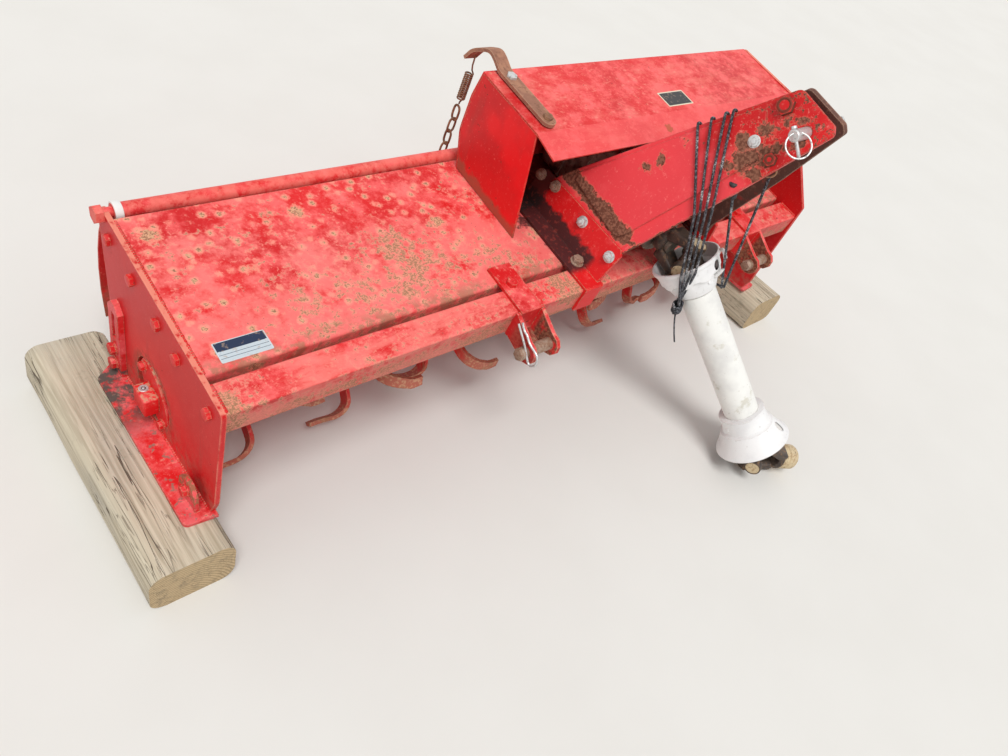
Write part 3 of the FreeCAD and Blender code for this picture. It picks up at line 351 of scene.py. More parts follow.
plate_paint = red_paint("end_plate_paint", fade=0.15, soil=0.1, rust=0.8)
# The plate is painted a deeper red higher up than near its foot: painted shade, the upper plate darker and the lower
# part lighter as if lit.
deep = plate_paint.step(plate_paint.past(machine(0, 0, 60), (0, 0, 1)) + (plate_paint.cloud(90, 3) - 0.5) * 160, 0, 120)
plate_paint.lay(deep * 0.6, tint(188, 14, 18), 0.5)
plate_paint.lay(plate_paint.step(plate_paint.cloud(3.6, 3, 0.7), 0.62, 0.67) * 0.5, tint(232, 116, 106), 0.7)
top_edge = plate_paint.step(plate_paint.facing(OFF_DECK), 0.7, 0.9)
plate_paint.lay(top_edge * plate_paint.step(plate_paint.cloud(14, 4), 0.3, 0.45) * 0.8, tint(236, 146, 124), 0.8)
plate_paint.lay(plate_paint.edges(4.0) * plate_paint.step(plate_paint.cloud(20, 4), 0.36, 0.5) * 0.6, tint(238, 142, 122), 0.7)
hole_rim = plate_paint.away(machine(0, 209, 64))
plate_paint.lay(plate_paint.step(hole_rim, 76, 58) * plate_paint.step(plate_paint.cloud(9, 3), 0.35, 0.6) * 0.7,
                tint(126, 78, 58), 0.85)
foot_dust = plate_paint.step(plate_paint.past(machine(0, 0, 0), (0, 0, 1)), 90, 0)
plate_paint.lay(foot_dust * plate_paint.step(plate_paint.cloud(16, 4), 0.38, 0.62) * 0.6, tint(176, 100, 84), 0.8)
plate_paint.done()
dress(plate_paint, "end_plate_left", "end_plate_right")

sole_paint = red_paint("sole_paint", fade=1.0, soil=0.5, rust=0.9)
chalky = sole_paint.step(sole_paint.cloud(34, 5, 0.7), 0.42, 0.62)
sole_paint.lay(chalky * 0.55, tint(232, 112, 116), 0.6)
tail = sole_paint.step(sole_paint.past(machine(0, 170, 0), (0, 1, 0)), 0, 90)
low_part = sole_paint.step(sole_paint.past(machine(0, 0, 12), (0, 0, 1)), 6, 0)
rubbed = sole_paint.step(sole_paint.cloud(30, 5, 0.65), 0.40, 0.54)
sole_paint.lay(tail * low_part * rubbed, tint(92, 80, 74), 0.75)
sole_paint.lay(low_part * sole_paint.step(sole_paint.cloud(14, 5, 0.66), 0.58, 0.64) * 0.8, tint(142, 118, 104), 0.8)
front_lug = sole_paint.step(sole_paint.past(machine(0, 90, 0), (0, -1, 0)), 0, 20) * (1 - low_part)
sole_paint.lay(front_lug * sole_paint.step(sole_paint.cloud(9, 4), 0.42, 0.56) * 0.85, tint(150, 106, 74), 0.9)
sole_paint.done()
dress(sole_paint, "skid_left", "skid_right")


def aimed(place, out, roll=0.0):
    turn = out.to_track_quat("Z", "Y").to_matrix().to_4x4()
    return Matrix.Translation(place) @ turn @ Matrix.Rotation(roll, 4, "Z")


def disc(form, seat, radius, tall, low=0.0, sides=28, rim=0.4):
    """A round or flat-sided boss that stands on a seat, with its rim broken."""
    deep = Matrix.Translation((0, 0, (low + tall / 2) * MM))
    made = bmesh.ops.create_cone(form, cap_ends=True, segments=sides, radius1=radius * MM, radius2=radius * MM,
                                 depth=tall * MM, matrix=seat @ deep)
    top = seat @ Vector((0, 0, (low + tall) * MM))
    out = (seat.to_3x3() @ Vector((0, 0, 1))).normalized()
    ends = {v for v in made["verts"] if abs((v.co - top).dot(out)) < 1e-6}
    rims = [e for e in {e for v in ends for e in v.link_edges} if set(e.verts) <= ends]
    bmesh.ops.bevel(form, geom=rims, offset=rim * MM, segments=2, profile=0.5, affect="EDGES", material=-1)


def bolt(form, place, out, flats=17.0, tall=7.0, washer=0.0, thread=0.0, roll=0.3):
    """A hexagon head, with a round flange or washer under it and a threaded end over a nut."""
    seat = aimed(place, out, roll)
    if washer:
        disc(form, seat, washer, 2.0)
    disc(form, seat, flats / math.sqrt(3), tall, low=2.0 if washer else 0.0, sides=6, rim=1.1)
    if thread:
        disc(form, seat, thread * 0.5, tall + thread * 0.7, sides=20, rim=1.0)


bolt_paint = red_paint("painted_bolts", fade=0.6, soil=0.3, rust=1.0)
bolt_paint.done()
plate_bolts = bmesh.new()
for i, s in enumerate((345, 266, 183, 121, 28)):
    for edge, out in ((0, -1), (1420, 1)):
        if out < 0 or s in (345, 28):
            bolt(plate_bolts, on_deck(edge, s, -33), ALONG * out, 17, 7, roll=0.4 * i)
for z in (22, 54):
    bolt(plate_bolts, machine(-10, 326, z), -ALONG, 18, 8, washer=12, roll=z)
    bolt(plate_bolts, machine(1430, 326, z), ALONG, 18, 8, washer=12, roll=z)
bolt(plate_bolts, machine(-20, 50, 24), -ALONG, 16, 7, washer=11)
bolt(plate_bolts, machine(1440, 50, 24), ALONG, 16, 7, washer=11)
piece("end_plate_bolts", plate_bolts, bolt_paint, "root", slot="red_paint")


# Weld beads join the end plates to the deck and the beam: a row of small overlapped ripples, painted over.
def wire(form, points, radius, closed=False, kind="NURBS", steps=5):
    """A round bar bent along points, made from a curve."""
    line = bpy.data.curves.new("run", "CURVE")
    line.dimensions = "3D"
    line.bevel_depth = radius * MM
    line.bevel_resolution = 2
    line.use_fill_caps = True
    line.resolution_u = steps
    run = line.splines.new(kind)
    run.points.add(len(points) - 1)
    for held, point in zip(run.points, points):
        held.co = (*point, 1.0)
    run.use_cyclic_u = closed
    if kind == "NURBS":
        run.order_u = 3
        run.use_endpoint_u = not closed
    carrier = bpy.data.objects.new("run", line)
    bent = bpy.data.meshes.new_from_object(carrier)
    form.from_mesh(bent)
    bpy.data.objects.remove(carrier)
    bpy.data.meshes.remove(bent)


def bead(form, start, end, radius=2.6):
    run = end - start
    count = max(4, round(run.length / (4.2 * MM)))
    for i in range(count):
        sway = noise.noise(start * 90 + Vector((i * 1.7, 0, 0))) * 0.35
        spot = start + run * ((i + 0.5) / count)
        shape = aimed(spot, run.normalized()) @ Matrix.Diagonal((1.0 + sway, 1.0 + sway, 1.1, 1.0))
        bmesh.ops.create_icosphere(form, subdivisions=1, radius=radius * MM, matrix=shape)


welds = bmesh.new()
for x in (9.0, 1411.0):
    bead(welds, on_deck(x, 66, 0.6), on_deck(x, 346, 0.6))
    bead(welds, on_deck(x, 3, 0.4), on_deck(x, 48, 0.4), 3.2)
bead(welds, machine(-0.6, 20, 0.2), machine(-0.6, 342, 0.2), 2.8)
bead(welds, machine(1420.6, 20, 0.2), machine(1420.6, 342, 0.2), 2.8)
piece("weld_beads", welds, bolt_paint, "root", slot="red_paint", crease=70)


# The front beam is square tube, its top rubbed by chains and boots; the deck is bent sheet with a lip to the
# front. Stones have dented it, and wet soil dried on it in spots and round islands with pale rims.
beam_paint = red_paint("beam_paint", fade=1.0, soil=0.8, rust=1.0)
front = beam_paint.step(beam_paint.facing(-UP_SLOPE), 0.5, 0.8)
low = beam_paint.step(beam_paint.past(on_deck(0, 0, -12), -OFF_DECK), -8, 26)
soiled(beam_paint, beam_paint.cloud(16, 5, 0.72) + front * (low * 0.16 + 0.05) + (beam_paint.cloud(260, 2) - 0.5) * 0.5, 0.63)
chalky = beam_paint.step(beam_paint.cloud(40, 5, 0.72, (0.3, 1, 1)), 0.42, 0.62)
beam_paint.lay(chalky * 0.7, tint(246, 132, 122), 0.62)
by_foot = beam_paint.step(beam_paint.away(on_deck(650, 20, 0)), 60, 20)
by_end = beam_paint.step(beam_paint.away(on_deck(0, 0, -20)), 60, 20)
soiled(beam_paint, beam_paint.cloud(18, 5, 0.72) + (by_foot + by_end) * 0.2, 0.62)
# The beam's downward faces are painted an even dark brown: painted shade under the beam.
under = beam_paint.step(beam_paint.facing((0, 0, -1)), -0.2, 0.8)
beam_paint.lay(under, tint(92, 44, 38), 0.8)
beam_paint.done()
dress(beam_paint, "front_beam")

deck_paint = red_paint("deck_paint", fade=1.0, soil=1.0, rust=0.6)
crust = deck_paint.cloud(15, 6, 0.74) + (deck_paint.cloud(60, 3) - 0.5) * 0.35
for x, s, wide in ((190, 112, 150), (330, 110, 190), (480, 100, 200), (600, 105, 120), (75, 250, 60), (209, 300, 50), (391, 185, 120)):
    crust = crust + deck_paint.step(deck_paint.away(on_deck(x, s, 0)), wide, 0) * 0.115
fore = deck_paint.step(deck_paint.past(on_deck(0, 340, 0), -UP_SLOPE), 0, 260)
faded = deck_paint.step(deck_paint.cloud(80, 5, 0.72) + crust * 0.2 + fore * 0.14, 0.56, 0.76)
deck_paint.lay(faded * 0.75, tint(248, 128, 122), 0.62)
soil_grain = deck_paint.step(deck_paint.cloud(2.8, 4, 0.7), 0.46, 0.56)
soil_colour = deck_paint.mix(soil_grain, tint(214, 170, 132), tint(130, 100, 74))
star = deck_paint.scatter(24) + (deck_paint.cloud(5, 4, 0.7) - 0.5) * 12
deck_paint.lay(deck_paint.step(star, 9.5, 5.0) * 0.75, tint(250, 156, 136), 0.75)
deck_paint.lay(deck_paint.step(star, 5.0, 3.4) * 0.85, soil_colour, 0.95, proud=0.1)
island = deck_paint.scatter(85) + (deck_paint.cloud(14, 5, 0.7) - 0.5) * 44
deck_paint.lay(deck_paint.step(island, 19, 13) * 0.7, tint(250, 150, 130), 0.75)
deck_paint.lay(deck_paint.step(island, 13, 10) * 0.85, soil_colour, 0.95, proud=0.1)
soiled(deck_paint, crust, 0.69)
deck_paint.lay(deck_paint.step(deck_paint.cloud(5, 4, 0.72), 0.665, 0.69) * 0.8, tint(96, 60, 46), 0.9)
lip_soil = deck_paint.step(deck_paint.past(on_deck(0, 92, 0), -UP_SLOPE), 0, 26)
deck_paint.lay(lip_soil * deck_paint.step(deck_paint.cloud(22, 5, 0.65), 0.44, 0.58) * 0.7, tint(160, 118, 92), 0.95)
# The deck behind the lip, past the mast's near side, is painted near black: a painted shadow under the mast and the
# shield.
mast_shadow_edge = deck_paint.past(on_deck(668, 0, 0), ALONG) + (deck_paint.cloud(45, 5, 0.66) - 0.5) * 150
behind_lip = deck_paint.step(deck_paint.past(on_deck(0, 84, 0), UP_SLOPE), 0, 30)
deck_paint.lay(deck_paint.step(mast_shadow_edge, -6, 8) * behind_lip * 0.88,
               deck_paint.mix(deck_paint.step(deck_paint.cloud(9, 4), 0.5, 0.66), tint(42, 34, 34), tint(104, 52, 46)), 0.6)
deck_paint.done()
dress(deck_paint, "hood")


# The maker's data plate is thin printed aluminium on two rivets, left blank: a dark blue head and pale fields.
data_plate = Finish("blank_data_plate", tint(198, 208, 214), 0.35, 0.3)
plate_middle = on_deck(74, 90, 1)
up_plate = data_plate.past(plate_middle, UP_SLOPE)
over_plate = data_plate.past(plate_middle, ALONG)
data_plate.lay(data_plate.step(up_plate, 1.0, 1.6), tint(28, 44, 74), 0.4)
for row in (-4.5, -10.5):
    data_plate.lay(data_plate.step(up_plate, row - 0.5, row - 0.2) * data_plate.step(up_plate, row + 0.5, row + 0.2),
                   tint(40, 58, 88))
rim_across = data_plate.step(over_plate * over_plate, 35.5 ** 2, 36 ** 2)
rim_up = data_plate.step(up_plate * up_plate, 15.6 ** 2, 16.1 ** 2)
data_plate.lay(rim_across, tint(206, 214, 218))
data_plate.lay(rim_up, tint(206, 214, 218))
data_plate.lay(data_plate.step(data_plate.cloud(7, 4), 0.56, 0.66) * 0.5, tint(176, 150, 128), 0.8)
data_plate.done()
tag = bmesh.new()
bmesh.ops.create_cube(tag, size=1.0)
across_deck = Matrix((ALONG, UP_SLOPE, OFF_DECK)).transposed().to_4x4()
bmesh.ops.transform(tag, matrix=Matrix.Translation(on_deck(74, 90, 0.4)) @ across_deck
                    @ Matrix.Diagonal((75 * MM, 34 * MM, 0.8 * MM, 1.0)), verts=tag.verts)
uprights = [e for e in tag.edges if abs((e.verts[0].co - e.verts[1].co).normalized().dot(OFF_DECK)) > 0.9]
bmesh.ops.bevel(tag, geom=uprights, offset=2 * MM, segments=3, profile=0.5, affect="EDGES", material=-1)
for x in (40, 108):
    disc(tag, aimed(on_deck(x, 90, 0.7), OFF_DECK), 2.2, 0.9, sides=16)
piece("data_plate", tag, data_plate, "root", slot="steel")


# The rear flap hangs from a rolled tube on a long rod; a pale plastic bush spaces it off the left plate.
flap_paint = red_paint("flap_paint", fade=0.9, soil=0.6, rust=0.8)
chalky = flap_paint.step(flap_paint.past(machine(0, 0, 262), (0, 0, 1)), 0, 16) * flap_paint.step(flap_paint.cloud(22, 5, 0.7), 0.36, 0.56)
flap_paint.lay(chalky * 0.6, tint(240, 128, 114), 0.65)
low_flap = flap_paint.step(flap_paint.past(machine(0, 0, 130), (0, 0, -1)), 0, 110)
flap_paint.lay(low_flap * flap_paint.step(flap_paint.cloud(28, 5, 0.65), 0.42, 0.6) * 0.8, tint(128, 84, 62), 0.9)
flap_paint.done()
dress(flap_paint, "flap", "hinge_rod")

guard_white = Finish("guard_plastic", tint(238, 237, 232), 0.5)
guard_white.lay(guard_white.step(guard_white.cloud(60, 4), 0.45, 0.7) * 0.5, tint(204, 202, 200))
guard_white.lay(guard_white.step(guard_white.cloud(40, 5, 0.66), 0.58, 0.7) * 0.6, tint(196, 190, 172), 0.7)
guard_white.lay(guard_white.step(guard_white.cloud(9, 4, 0.65), 0.64, 0.7) * 0.4, tint(180, 174, 160), 0.7)
guard_white.height = guard_white.cloud(40, 2) * 0.6 + guard_white.cloud(5, 3) * 0.15
guard_white.done()


def turned(form, outline, seat, steps=72):
    """An outline of (radius, along) pairs spun about the seat's own axis; it closes unless it starts on the axis."""
    part = bmesh.new()
    corners = [part.verts.new((radius * MM, 0, place * MM)) for radius, place in outline]
    pairs = zip(corners, corners[1:] + corners[:1])
    edges = [part.edges.new(pair) for pair in pairs if outline[0][0] or pair[1] is not corners[0]]
    bmesh.ops.spin(part, geom=corners + edges, cent=(0, 0, 0), axis=(0, 0, 1), dvec=(0, 0, 0),
                   angle=2 * math.pi, steps=steps, use_merge=True)
    bmesh.ops.remove_doubles(part, verts=part.verts, dist=1e-6)
    bmesh.ops.recalc_face_normals(part, faces=part.faces)
    join(form, part, seat)


def join(form, part, seat):
    bmesh.ops.transform(part, matrix=seat, verts=part.verts)
    spare = bpy.data.meshes.new("spare")
    part.to_mesh(spare)
    part.free()
    form.from_mesh(spare)
    bpy.data.meshes.remove(spare)


bush = bmesh.new()
turned(bush, [(12.2, 0), (14.5, 0), (15, 0.6), (15, 11), (14.4, 11.6), (12.2, 11.6)], aimed(machine(14.4, 366, 283), ALONG))
piece("hinge_bush", bush, guard_white, "flap", slot="guard_plastic")


# The rotor's left bearing sits in a cast housing bolted behind the plate, its square hub through the round
# hole, with a grease fitting sunk in its top and packed soil round it.
housing_paint = red_paint("housing_paint", fade=0.8, soil=0.7, rust=1.0)
from_axis = housing_paint.away(machine(14, 209, 64))
# Whatever of the housing lies behind the end plate's outer face is painted dark brown: painted shade in the hole and
# behind the plate.
shade_behind_plate = housing_paint.step(housing_paint.past(machine(7, 0, 0), ALONG), 0, 2)
housing_paint.lay(shade_behind_plate, tint(66, 46, 38), 0.95)
on_top = housing_paint.step(housing_paint.facing((0, 0, 1)), 0.5, 0.9)
housing_paint.lay(on_top * housing_paint.step(housing_paint.cloud(6, 4), 0.42, 0.56) * 0.8, tint(204, 160, 128), 0.9)
grease_hole = housing_paint.step(housing_paint.away(machine(-11, 216, 71.2)), 7.4, 6.8)
housing_paint.lay(grease_hole * on_top, tint(74, 62, 52), 0.5)
housing_paint.done()

housing = bmesh.new()
flange_seat = Matrix.Translation(machine(8, 207, 60)) @ Matrix.Rotation(math.radians(-41), 4, "X")
flange = bmesh.new()
turned(flange, [(0, 0), (57, 0), (59, -2), (59, -5), (57, -7), (0, -7)], aimed(Vector((0, 0, 0)), ALONG), 72)
bmesh.ops.transform(flange, matrix=Matrix.Diagonal((1.0, 0.6, 1.0, 1.0)), verts=flange.verts)
join(housing, flange, flange_seat)
turned(housing, [(0, 0), (62, 0), (62, 5), (0, 5)], aimed(machine(9, 209, 64), ALONG), 72)
hub = bmesh.new()
bmesh.ops.create_cube(hub, size=1.0)
bmesh.ops.transform(hub, matrix=Matrix.Translation(machine(-10, 209, 53)) @ Matrix.Diagonal((24 * MM, 41 * MM, 36 * MM, 1.0)),
                    verts=hub.verts)
bmesh.ops.bevel(hub, geom=hub.edges[:], offset=4 * MM, segments=3, profile=0.5, affect="EDGES", material=-1)
join(housing, hub, Matrix.Identity(4))
piece("bearing_case", housing, housing_paint, "root", "bearing_housing", slot="red_paint")

zinc = Finish("zinc_plate", tint(206, 207, 206), 0.42, 0.6)
zinc.lay(zinc.step(zinc.cloud(6, 4), 0.52, 0.66) * 0.6, tint(128, 124, 118), 0.6, 0.5)
zinc.lay(zinc.edges(1.2) * zinc.step(zinc.cloud(5, 3), 0.5, 0.6) * 0.5, tint(126, 84, 60), 0.8, 0.2)
zinc.height = zinc.cloud(1.5, 2) * 0.05
zinc.done()
housing_bolts = bmesh.new()
for way in (-1, 1):
    bolt(housing_bolts, machine(1, 207 + 31 * way, 60 + 35.6 * way), -ALONG, 13, 7, washer=9, roll=way)
piece("housing_bolts", housing_bolts, bolt_paint, "root", slot="red_paint")
fitting = bmesh.new()
grease_seat = aimed(machine(-11, 216, 70.2), Vector((0, 0, 1)))
turned(fitting, [(3.4, 0), (3.4, 1.4), (6.6, 1.6), (7.4, 0.8), (7.4, 0)], grease_seat, 28)
turned(fitting, [(0, 2.6), (1.2, 2.6), (2.2, 1.4), (2.2, 0)], grease_seat, 20)
piece("grease_fitting", fitting, zinc, "root", slot="steel")


# The rotor is a tube with seven welded discs; on each face three sickle tines of sprung flat bar are held by
# a pair of bolts. They were painted red, and their tips are scoured to brown steel.
tine_finish = red_paint("tine_paint", fade=0.4, soil=0.4, rust=0.9)
from_rotor = tine_finish.node("ShaderNodeVectorMath", {"operation": "MULTIPLY"},
                              {0: tine_finish.node("ShaderNodeVectorMath", {"operation": "SUBTRACT"},
                                                   {0: tine_finish.place, 1: machine(0, 209, 64)}), 1: (0, 1, 1)})
from_rotor = tine_finish.node("ShaderNodeVectorMath", {"operation": "LENGTH"}, {0: from_rotor}, out="Value") * 1000
scoured = tine_finish.step(from_rotor + (tine_finish.cloud(18, 4) - 0.5) * 60, 104, 140)
tine_finish.lay(scoured * 0.75, tint(166, 112, 90), 0.6, 0.2)
tine_finish.lay(tine_finish.step(tine_finish.cloud(6, 4), 0.5, 0.62) * scoured * 0.7, tint(206, 162, 128), 0.8, 0.0)
tine_finish.lay(tine_finish.step(tine_finish.cloud(30, 5, 0.66), 0.55, 0.68) * 0.6, tint(166, 124, 94), 0.95)
tine_finish.done()

rotor = bmesh.new()
rotor_seat = aimed(machine(30, 209, 64), ALONG)
turned(rotor, [(0, 0), (28, 0), (32, 3), (32, 1357), (28, 1360), (0, 1360)], rotor_seat, 48)
first_disc, last_disc = 30 + 62 + 22, 1390 - 62 - 22 - 8
for i in range(7):
    x = first_disc + (last_disc - first_disc) * i / 6
    turned(rotor, [(30, 0), (71, 0), (72, 1), (72, 7), (71, 8), (30, 8)], aimed(machine(x, 209, 64), ALONG), 48)
    for k in range(6):
        hand = 1 if k % 2 else -1
        blade = bmesh.new()
        bmesh.ops.create_grid(blade, x_segments=4, y_segments=20, size=0.5)
        for vert in blade.verts:
            run, wide = (vert.co.y + 0.5) * 168, vert.co.x * 2
            bend = min(max((run - 76) / 53.4, 0.0), 1.0) * math.pi / 2
            out = 34 * (1 - math.cos(bend)) + max(run - 129.4, 0)
            rise = 39.4 + min(run, 76) + 30 * math.sin(bend)
            curl = -34 * min(1.0, max(0.0, (run - 46) / 100)) ** 1.6
            half = 13.5 - 4.5 * (run / 168) ** 2
            vert.co = Vector((out * hand, curl + 2 + wide * half, rise)) * MM
        bmesh.ops.recalc_face_normals(blade, faces=blade.faces)
        bmesh.ops.solidify(blade, geom=blade.faces[:], thickness=7.5 * MM)
        low_x = min(v.co.x * hand for v in blade.verts)
        bmesh.ops.translate(blade, vec=Vector(((-low_x) * hand, 0, 0)), verts=blade.verts)
        seat = Matrix.Translation(machine(x + (8 if hand > 0 else 0), 209, 64)) \
            @ Matrix.Rotation(math.radians(60 * k + 17 * i), 4, "X")
        for way, at in ((-5, 48), (7, 60)):
            disc(blade, aimed(Vector((7.4 * hand, way, at)) * MM, ALONG * hand), 8.0, 5.0, sides=6, rim=0.8)
        join(rotor, blade, seat)
piece("tined_rotor_set", rotor, tine_finish, "rotor", "tined_rotor", slot="tine_steel", crease=40)


# Each lower clevis is a strap bent over the deck's lip and the beam with two ears of flat bar welded on. A
# bare pin goes through the ears; the left one keeps its hairpin clip of bright wire.
clevis_paint = red_paint("clevis_paint", fade=0.9, soil=0.6, rust=1.0)
between_ears = clevis_paint.step(clevis_paint.past(on_deck(0, -9, 0), -UP_SLOPE), 0, 10)
right_ear = clevis_paint.step(clevis_paint.past(on_deck(541, 0, 0), ALONG), 0, 1)
right_ear = right_ear * clevis_paint.step(clevis_paint.past(on_deck(880, 0, 0), -ALONG), 0, 1)
right_ear = right_ear + clevis_paint.step(clevis_paint.past(on_deck(1180, 0, 0), ALONG), 0, 1)
# The ears' inner faces and the front faces between the ears are patched dark brown: rust, and painted shade between the
# ears.
rust_and_shade_faces = clevis_paint.step(clevis_paint.facing(-ALONG), 0.6, 0.9) * (right_ear * 0.6 + 0.4)
rust_and_shade_faces = rust_and_shade_faces + clevis_paint.step(clevis_paint.facing(-UP_SLOPE), 0.6, 0.9) * 0.6
clevis_paint.lay(between_ears * rust_and_shade_faces * clevis_paint.step(clevis_paint.cloud(22, 5, 0.66), 0.34, 0.5) * 0.9,
                 clevis_paint.mix(clevis_paint.step(clevis_paint.cloud(5, 3), 0.42, 0.6), tint(98, 70, 54), tint(150, 112, 84)), 0.9)
clevis_paint.lay(between_ears * clevis_paint.edges(2.4) * 0.7, tint(242, 150, 132), 0.7)
clevis_paint.done()
dress(clevis_paint, "clevises")

rusty = Finish("rusty_steel", tint(128, 88, 66), 0.8, 0.1)
rusty.lay(rusty.step(rusty.cloud(14, 5, 0.65), 0.42, 0.64) * 0.8, tint(166, 122, 90), 0.9)
rusty.lay(rusty.step(rusty.cloud(5, 4), 0.56, 0.66) * 0.7, tint(84, 60, 50), 0.75)
rusty.lay(rusty.edges(1.6) * 0.4, tint(188, 152, 128), 0.6, 0.3)
rusty.height = rusty.cloud(2, 3) * 0.3
rusty.done()
worn_steel = Finish("worn_steel", tint(168, 142, 124), 0.6, 0.3)
worn_steel.lay(worn_steel.step(worn_steel.cloud(12, 5, 0.65), 0.44, 0.62) * 0.8, tint(142, 104, 80), 0.8)
worn_steel.lay(worn_steel.step(worn_steel.cloud(4, 4), 0.56, 0.66) * 0.7, tint(104, 78, 64), 0.8)
worn_steel.lay(worn_steel.edges(1.4) * 0.5, tint(206, 190, 176), 0.5, 0.4)
worn_steel.height = worn_steel.cloud(2, 3) * 0.25
worn_steel.done()
pins = bmesh.new()
for x in (540.5, 1223.5):
    turned(pins, [(0, 0), (9.4, 0), (11, 1.6), (11, 85.4), (9.4, 87), (0, 87)], aimed(machine(x - 43.5, -47, 190), ALONG), 36)
    disc(pins, aimed(machine(x - 42.5, -47, 190), -ALONG), 11.5, 6.5, sides=6, rim=1.4)
piece("lower_pins", pins, worn_steel, "root", "hitch_pins", slot="rusty_steel")

strap_bolts = bmesh.new()
for x in (540.5, 1223.5):
    bolt(strap_bolts, on_deck(x - 3, 54, 6), OFF_DECK, 18, 8, roll=0.2)
piece("strap_bolts", strap_bolts, bolt_paint, "root", slot="red_paint")
foot_bolts = bmesh.new()
for x in (702, 1062):
    bolt(foot_bolts, on_deck(x, 57, 6), OFF_DECK, 19, 8, washer=13, roll=0.5)
piece("foot_bolts", foot_bolts, worn_steel, "root", slot="rusty_steel")

hairpin = bmesh.new()
clip = ((-16.9, 231.4), (-31.4, 218.8), (-48.0, 204.0), (-62.0, 186.0), (-70.0, 181.0), (-79.0, 189.5), (-80.5, 202.0),
        (-74.0, 212.0), (-60.0, 215.0), (-50.0, 219.0), (-41.0, 228.0), (-32.0, 229.0), (-23.3, 239.7))
wire(hairpin, [machine(503, y, z) for y, z in clip], 2.0)
piece("hairpin_clip", hairpin, zinc, "root", slot="steel")


# The mast is two pressed plates that lean together on angle feet. Paint has flaked off the near one in brown
# islands near the top pin and along its foot; the far one has rusted all over.
near_foot = on_deck(732, 0, 50)
LEAN = math.atan(120 / 338.3)
MAST_UP = OFF_DECK * math.cos(LEAN) + ALONG * math.sin(LEAN)
MAST_OUT = ALONG * -math.cos(LEAN) + OFF_DECK * math.sin(LEAN)


def on_mast(s, h, off=0.0):
    return near_foot + (UP_SLOPE * s + MAST_UP * ((h - 50) / math.cos(LEAN)) + MAST_OUT * off) * MM


mast_paint = red_paint("mast_paint", fade=0.45, soil=0.1, rust=0.9)
mast_paint.soft = 4.5
mast_paint.lay(mast_paint.step(mast_paint.cloud(7, 4, 0.7), 0.60, 0.67) * 0.5, tint(246, 150, 140), 0.7)
rosy = mast_paint.step(mast_paint.past(on_mast(0, 300), MAST_UP) + (mast_paint.cloud(60, 4) - 0.5) * 120, 16, -30)
mast_paint.lay(rosy * 0.6, tint(246, 84, 92), 0.5)
brown = mast_paint.mix(mast_paint.step(mast_paint.cloud(5, 4), 0.42, 0.6), tint(108, 66, 52), tint(146, 98, 78))
ragged = (mast_paint.cloud(15, 6, 0.72) - 0.5) * 60


def flake(island, line, edge=0.8):
    """Paint gone where a field in millimetres passes a line, with a rubbed salmon rim round the bare rust."""
    mast_paint.lay(mast_paint.step(island, line - 4.5, line - 1) * 0.6, tint(226, 120, 100), 0.7)
    mast_paint.lay(mast_paint.step(island, line - edge, line + edge), brown, 0.95, proud=-0.3)


foot_line = mast_paint.past(on_mast(0, 90), MAST_UP) + ragged * 0.6
past_line = mast_paint.past(on_mast(14, 90), UP_SLOPE)
band = mast_paint.node("ShaderNodeMath", {"operation": "ABSOLUTE"}, {0: foot_line})
flake(mast_paint.step(past_line, 0, 6) * 12 - band, -3)
for s, h, wide in ((-50, 326, 22), (-34, 306, 26), (-26, 352, 15), (-12, 322, 17), (-62, 352, 11), (83, 194, 9), (71, 216, 11),
                   (-58, 300, 16), (-20, 282, 13), (-40, 382, 8), (-80, 372, 11), (-58, 398, 7), (120, 262, 12), (60, 262, 5)):
    flake((mast_paint.away(on_mast(s, h)) + ragged * 0.8) * -1, -wide * 0.8)
specks = mast_paint.cloud(9, 4, 0.7) * mast_paint.step(mast_paint.past(on_mast(0, 300), MAST_UP), -40, 60)
flake((specks - 0.57) * 100, 1.5, 0.5)
front_rim = mast_paint.past(on_mast(-39, 200), (on_mast(-53, 238) - on_mast(-39, 200)).normalized().cross(-MAST_OUT))
front_rim = front_rim + ragged * 0.25
flake(mast_paint.step(front_rim, 3, -3) * 10 - 6, 0)
mast_paint.done()
dress(mast_paint, "mast_plate_left")

far_plate = Finish("rusted_plate", tint(100, 66, 56), 0.85)
far_plate.soft = 3.0
far_plate.lay(far_plate.step(far_plate.cloud(40, 5, 0.66), 0.42, 0.62) * 0.7, tint(98, 64, 54), 0.8)
far_plate.lay(far_plate.step(far_plate.cloud(14, 5, 0.66), 0.52, 0.66) * 0.5, tint(156, 112, 92), 0.85)
far_plate.lay(far_plate.step(far_plate.cloud(70, 5, 0.66), 0.60, 0.66) * 0.8, tint(168, 52, 46), 0.6)
far_plate.lay(far_plate.edges(3.0) * 0.7, tint(198, 158, 134), 0.8)
far_plate.height = far_plate.cloud(3, 3) * 0.3 + far_plate.height
far_plate.done()
dress(far_plate, "mast_plate_right")

base_paint = red_paint("mast_base_paint", fade=0.4, soil=0.35, rust=1.0)
# The base's rear part, up the slope past s=196, is painted near black: a painted shadow under the shield.
tail_shadow = base_paint.step(base_paint.past(on_deck(0, 196, 0), UP_SLOPE) + (base_paint.cloud(26, 5, 0.68) - 0.5) * 70, -8, 8)
base_paint.lay(tail_shadow * 0.9, tint(46, 36, 34), 0.6)
# Low along the foot the base is painted dark: dirt, and painted shade along the foot's flat.
low_foot = base_paint.step(base_paint.past(on_deck(0, 0, 30), -OFF_DECK) + (base_paint.cloud(20, 4) - 0.5) * 30, -4, 4)
dirt_and_shade_foot = low_foot * base_paint.step(base_paint.past(on_deck(0, 30, 0), UP_SLOPE), 0, 16)
base_paint.lay(dirt_and_shade_foot * 0.92, base_paint.mix(base_paint.step(base_paint.cloud(8, 4), 0.54, 0.66), tint(40, 32, 32),
               tint(106, 50, 44)), 0.6)
base_paint.done()
dress(base_paint, "mast_base_left", "mast_base_right")

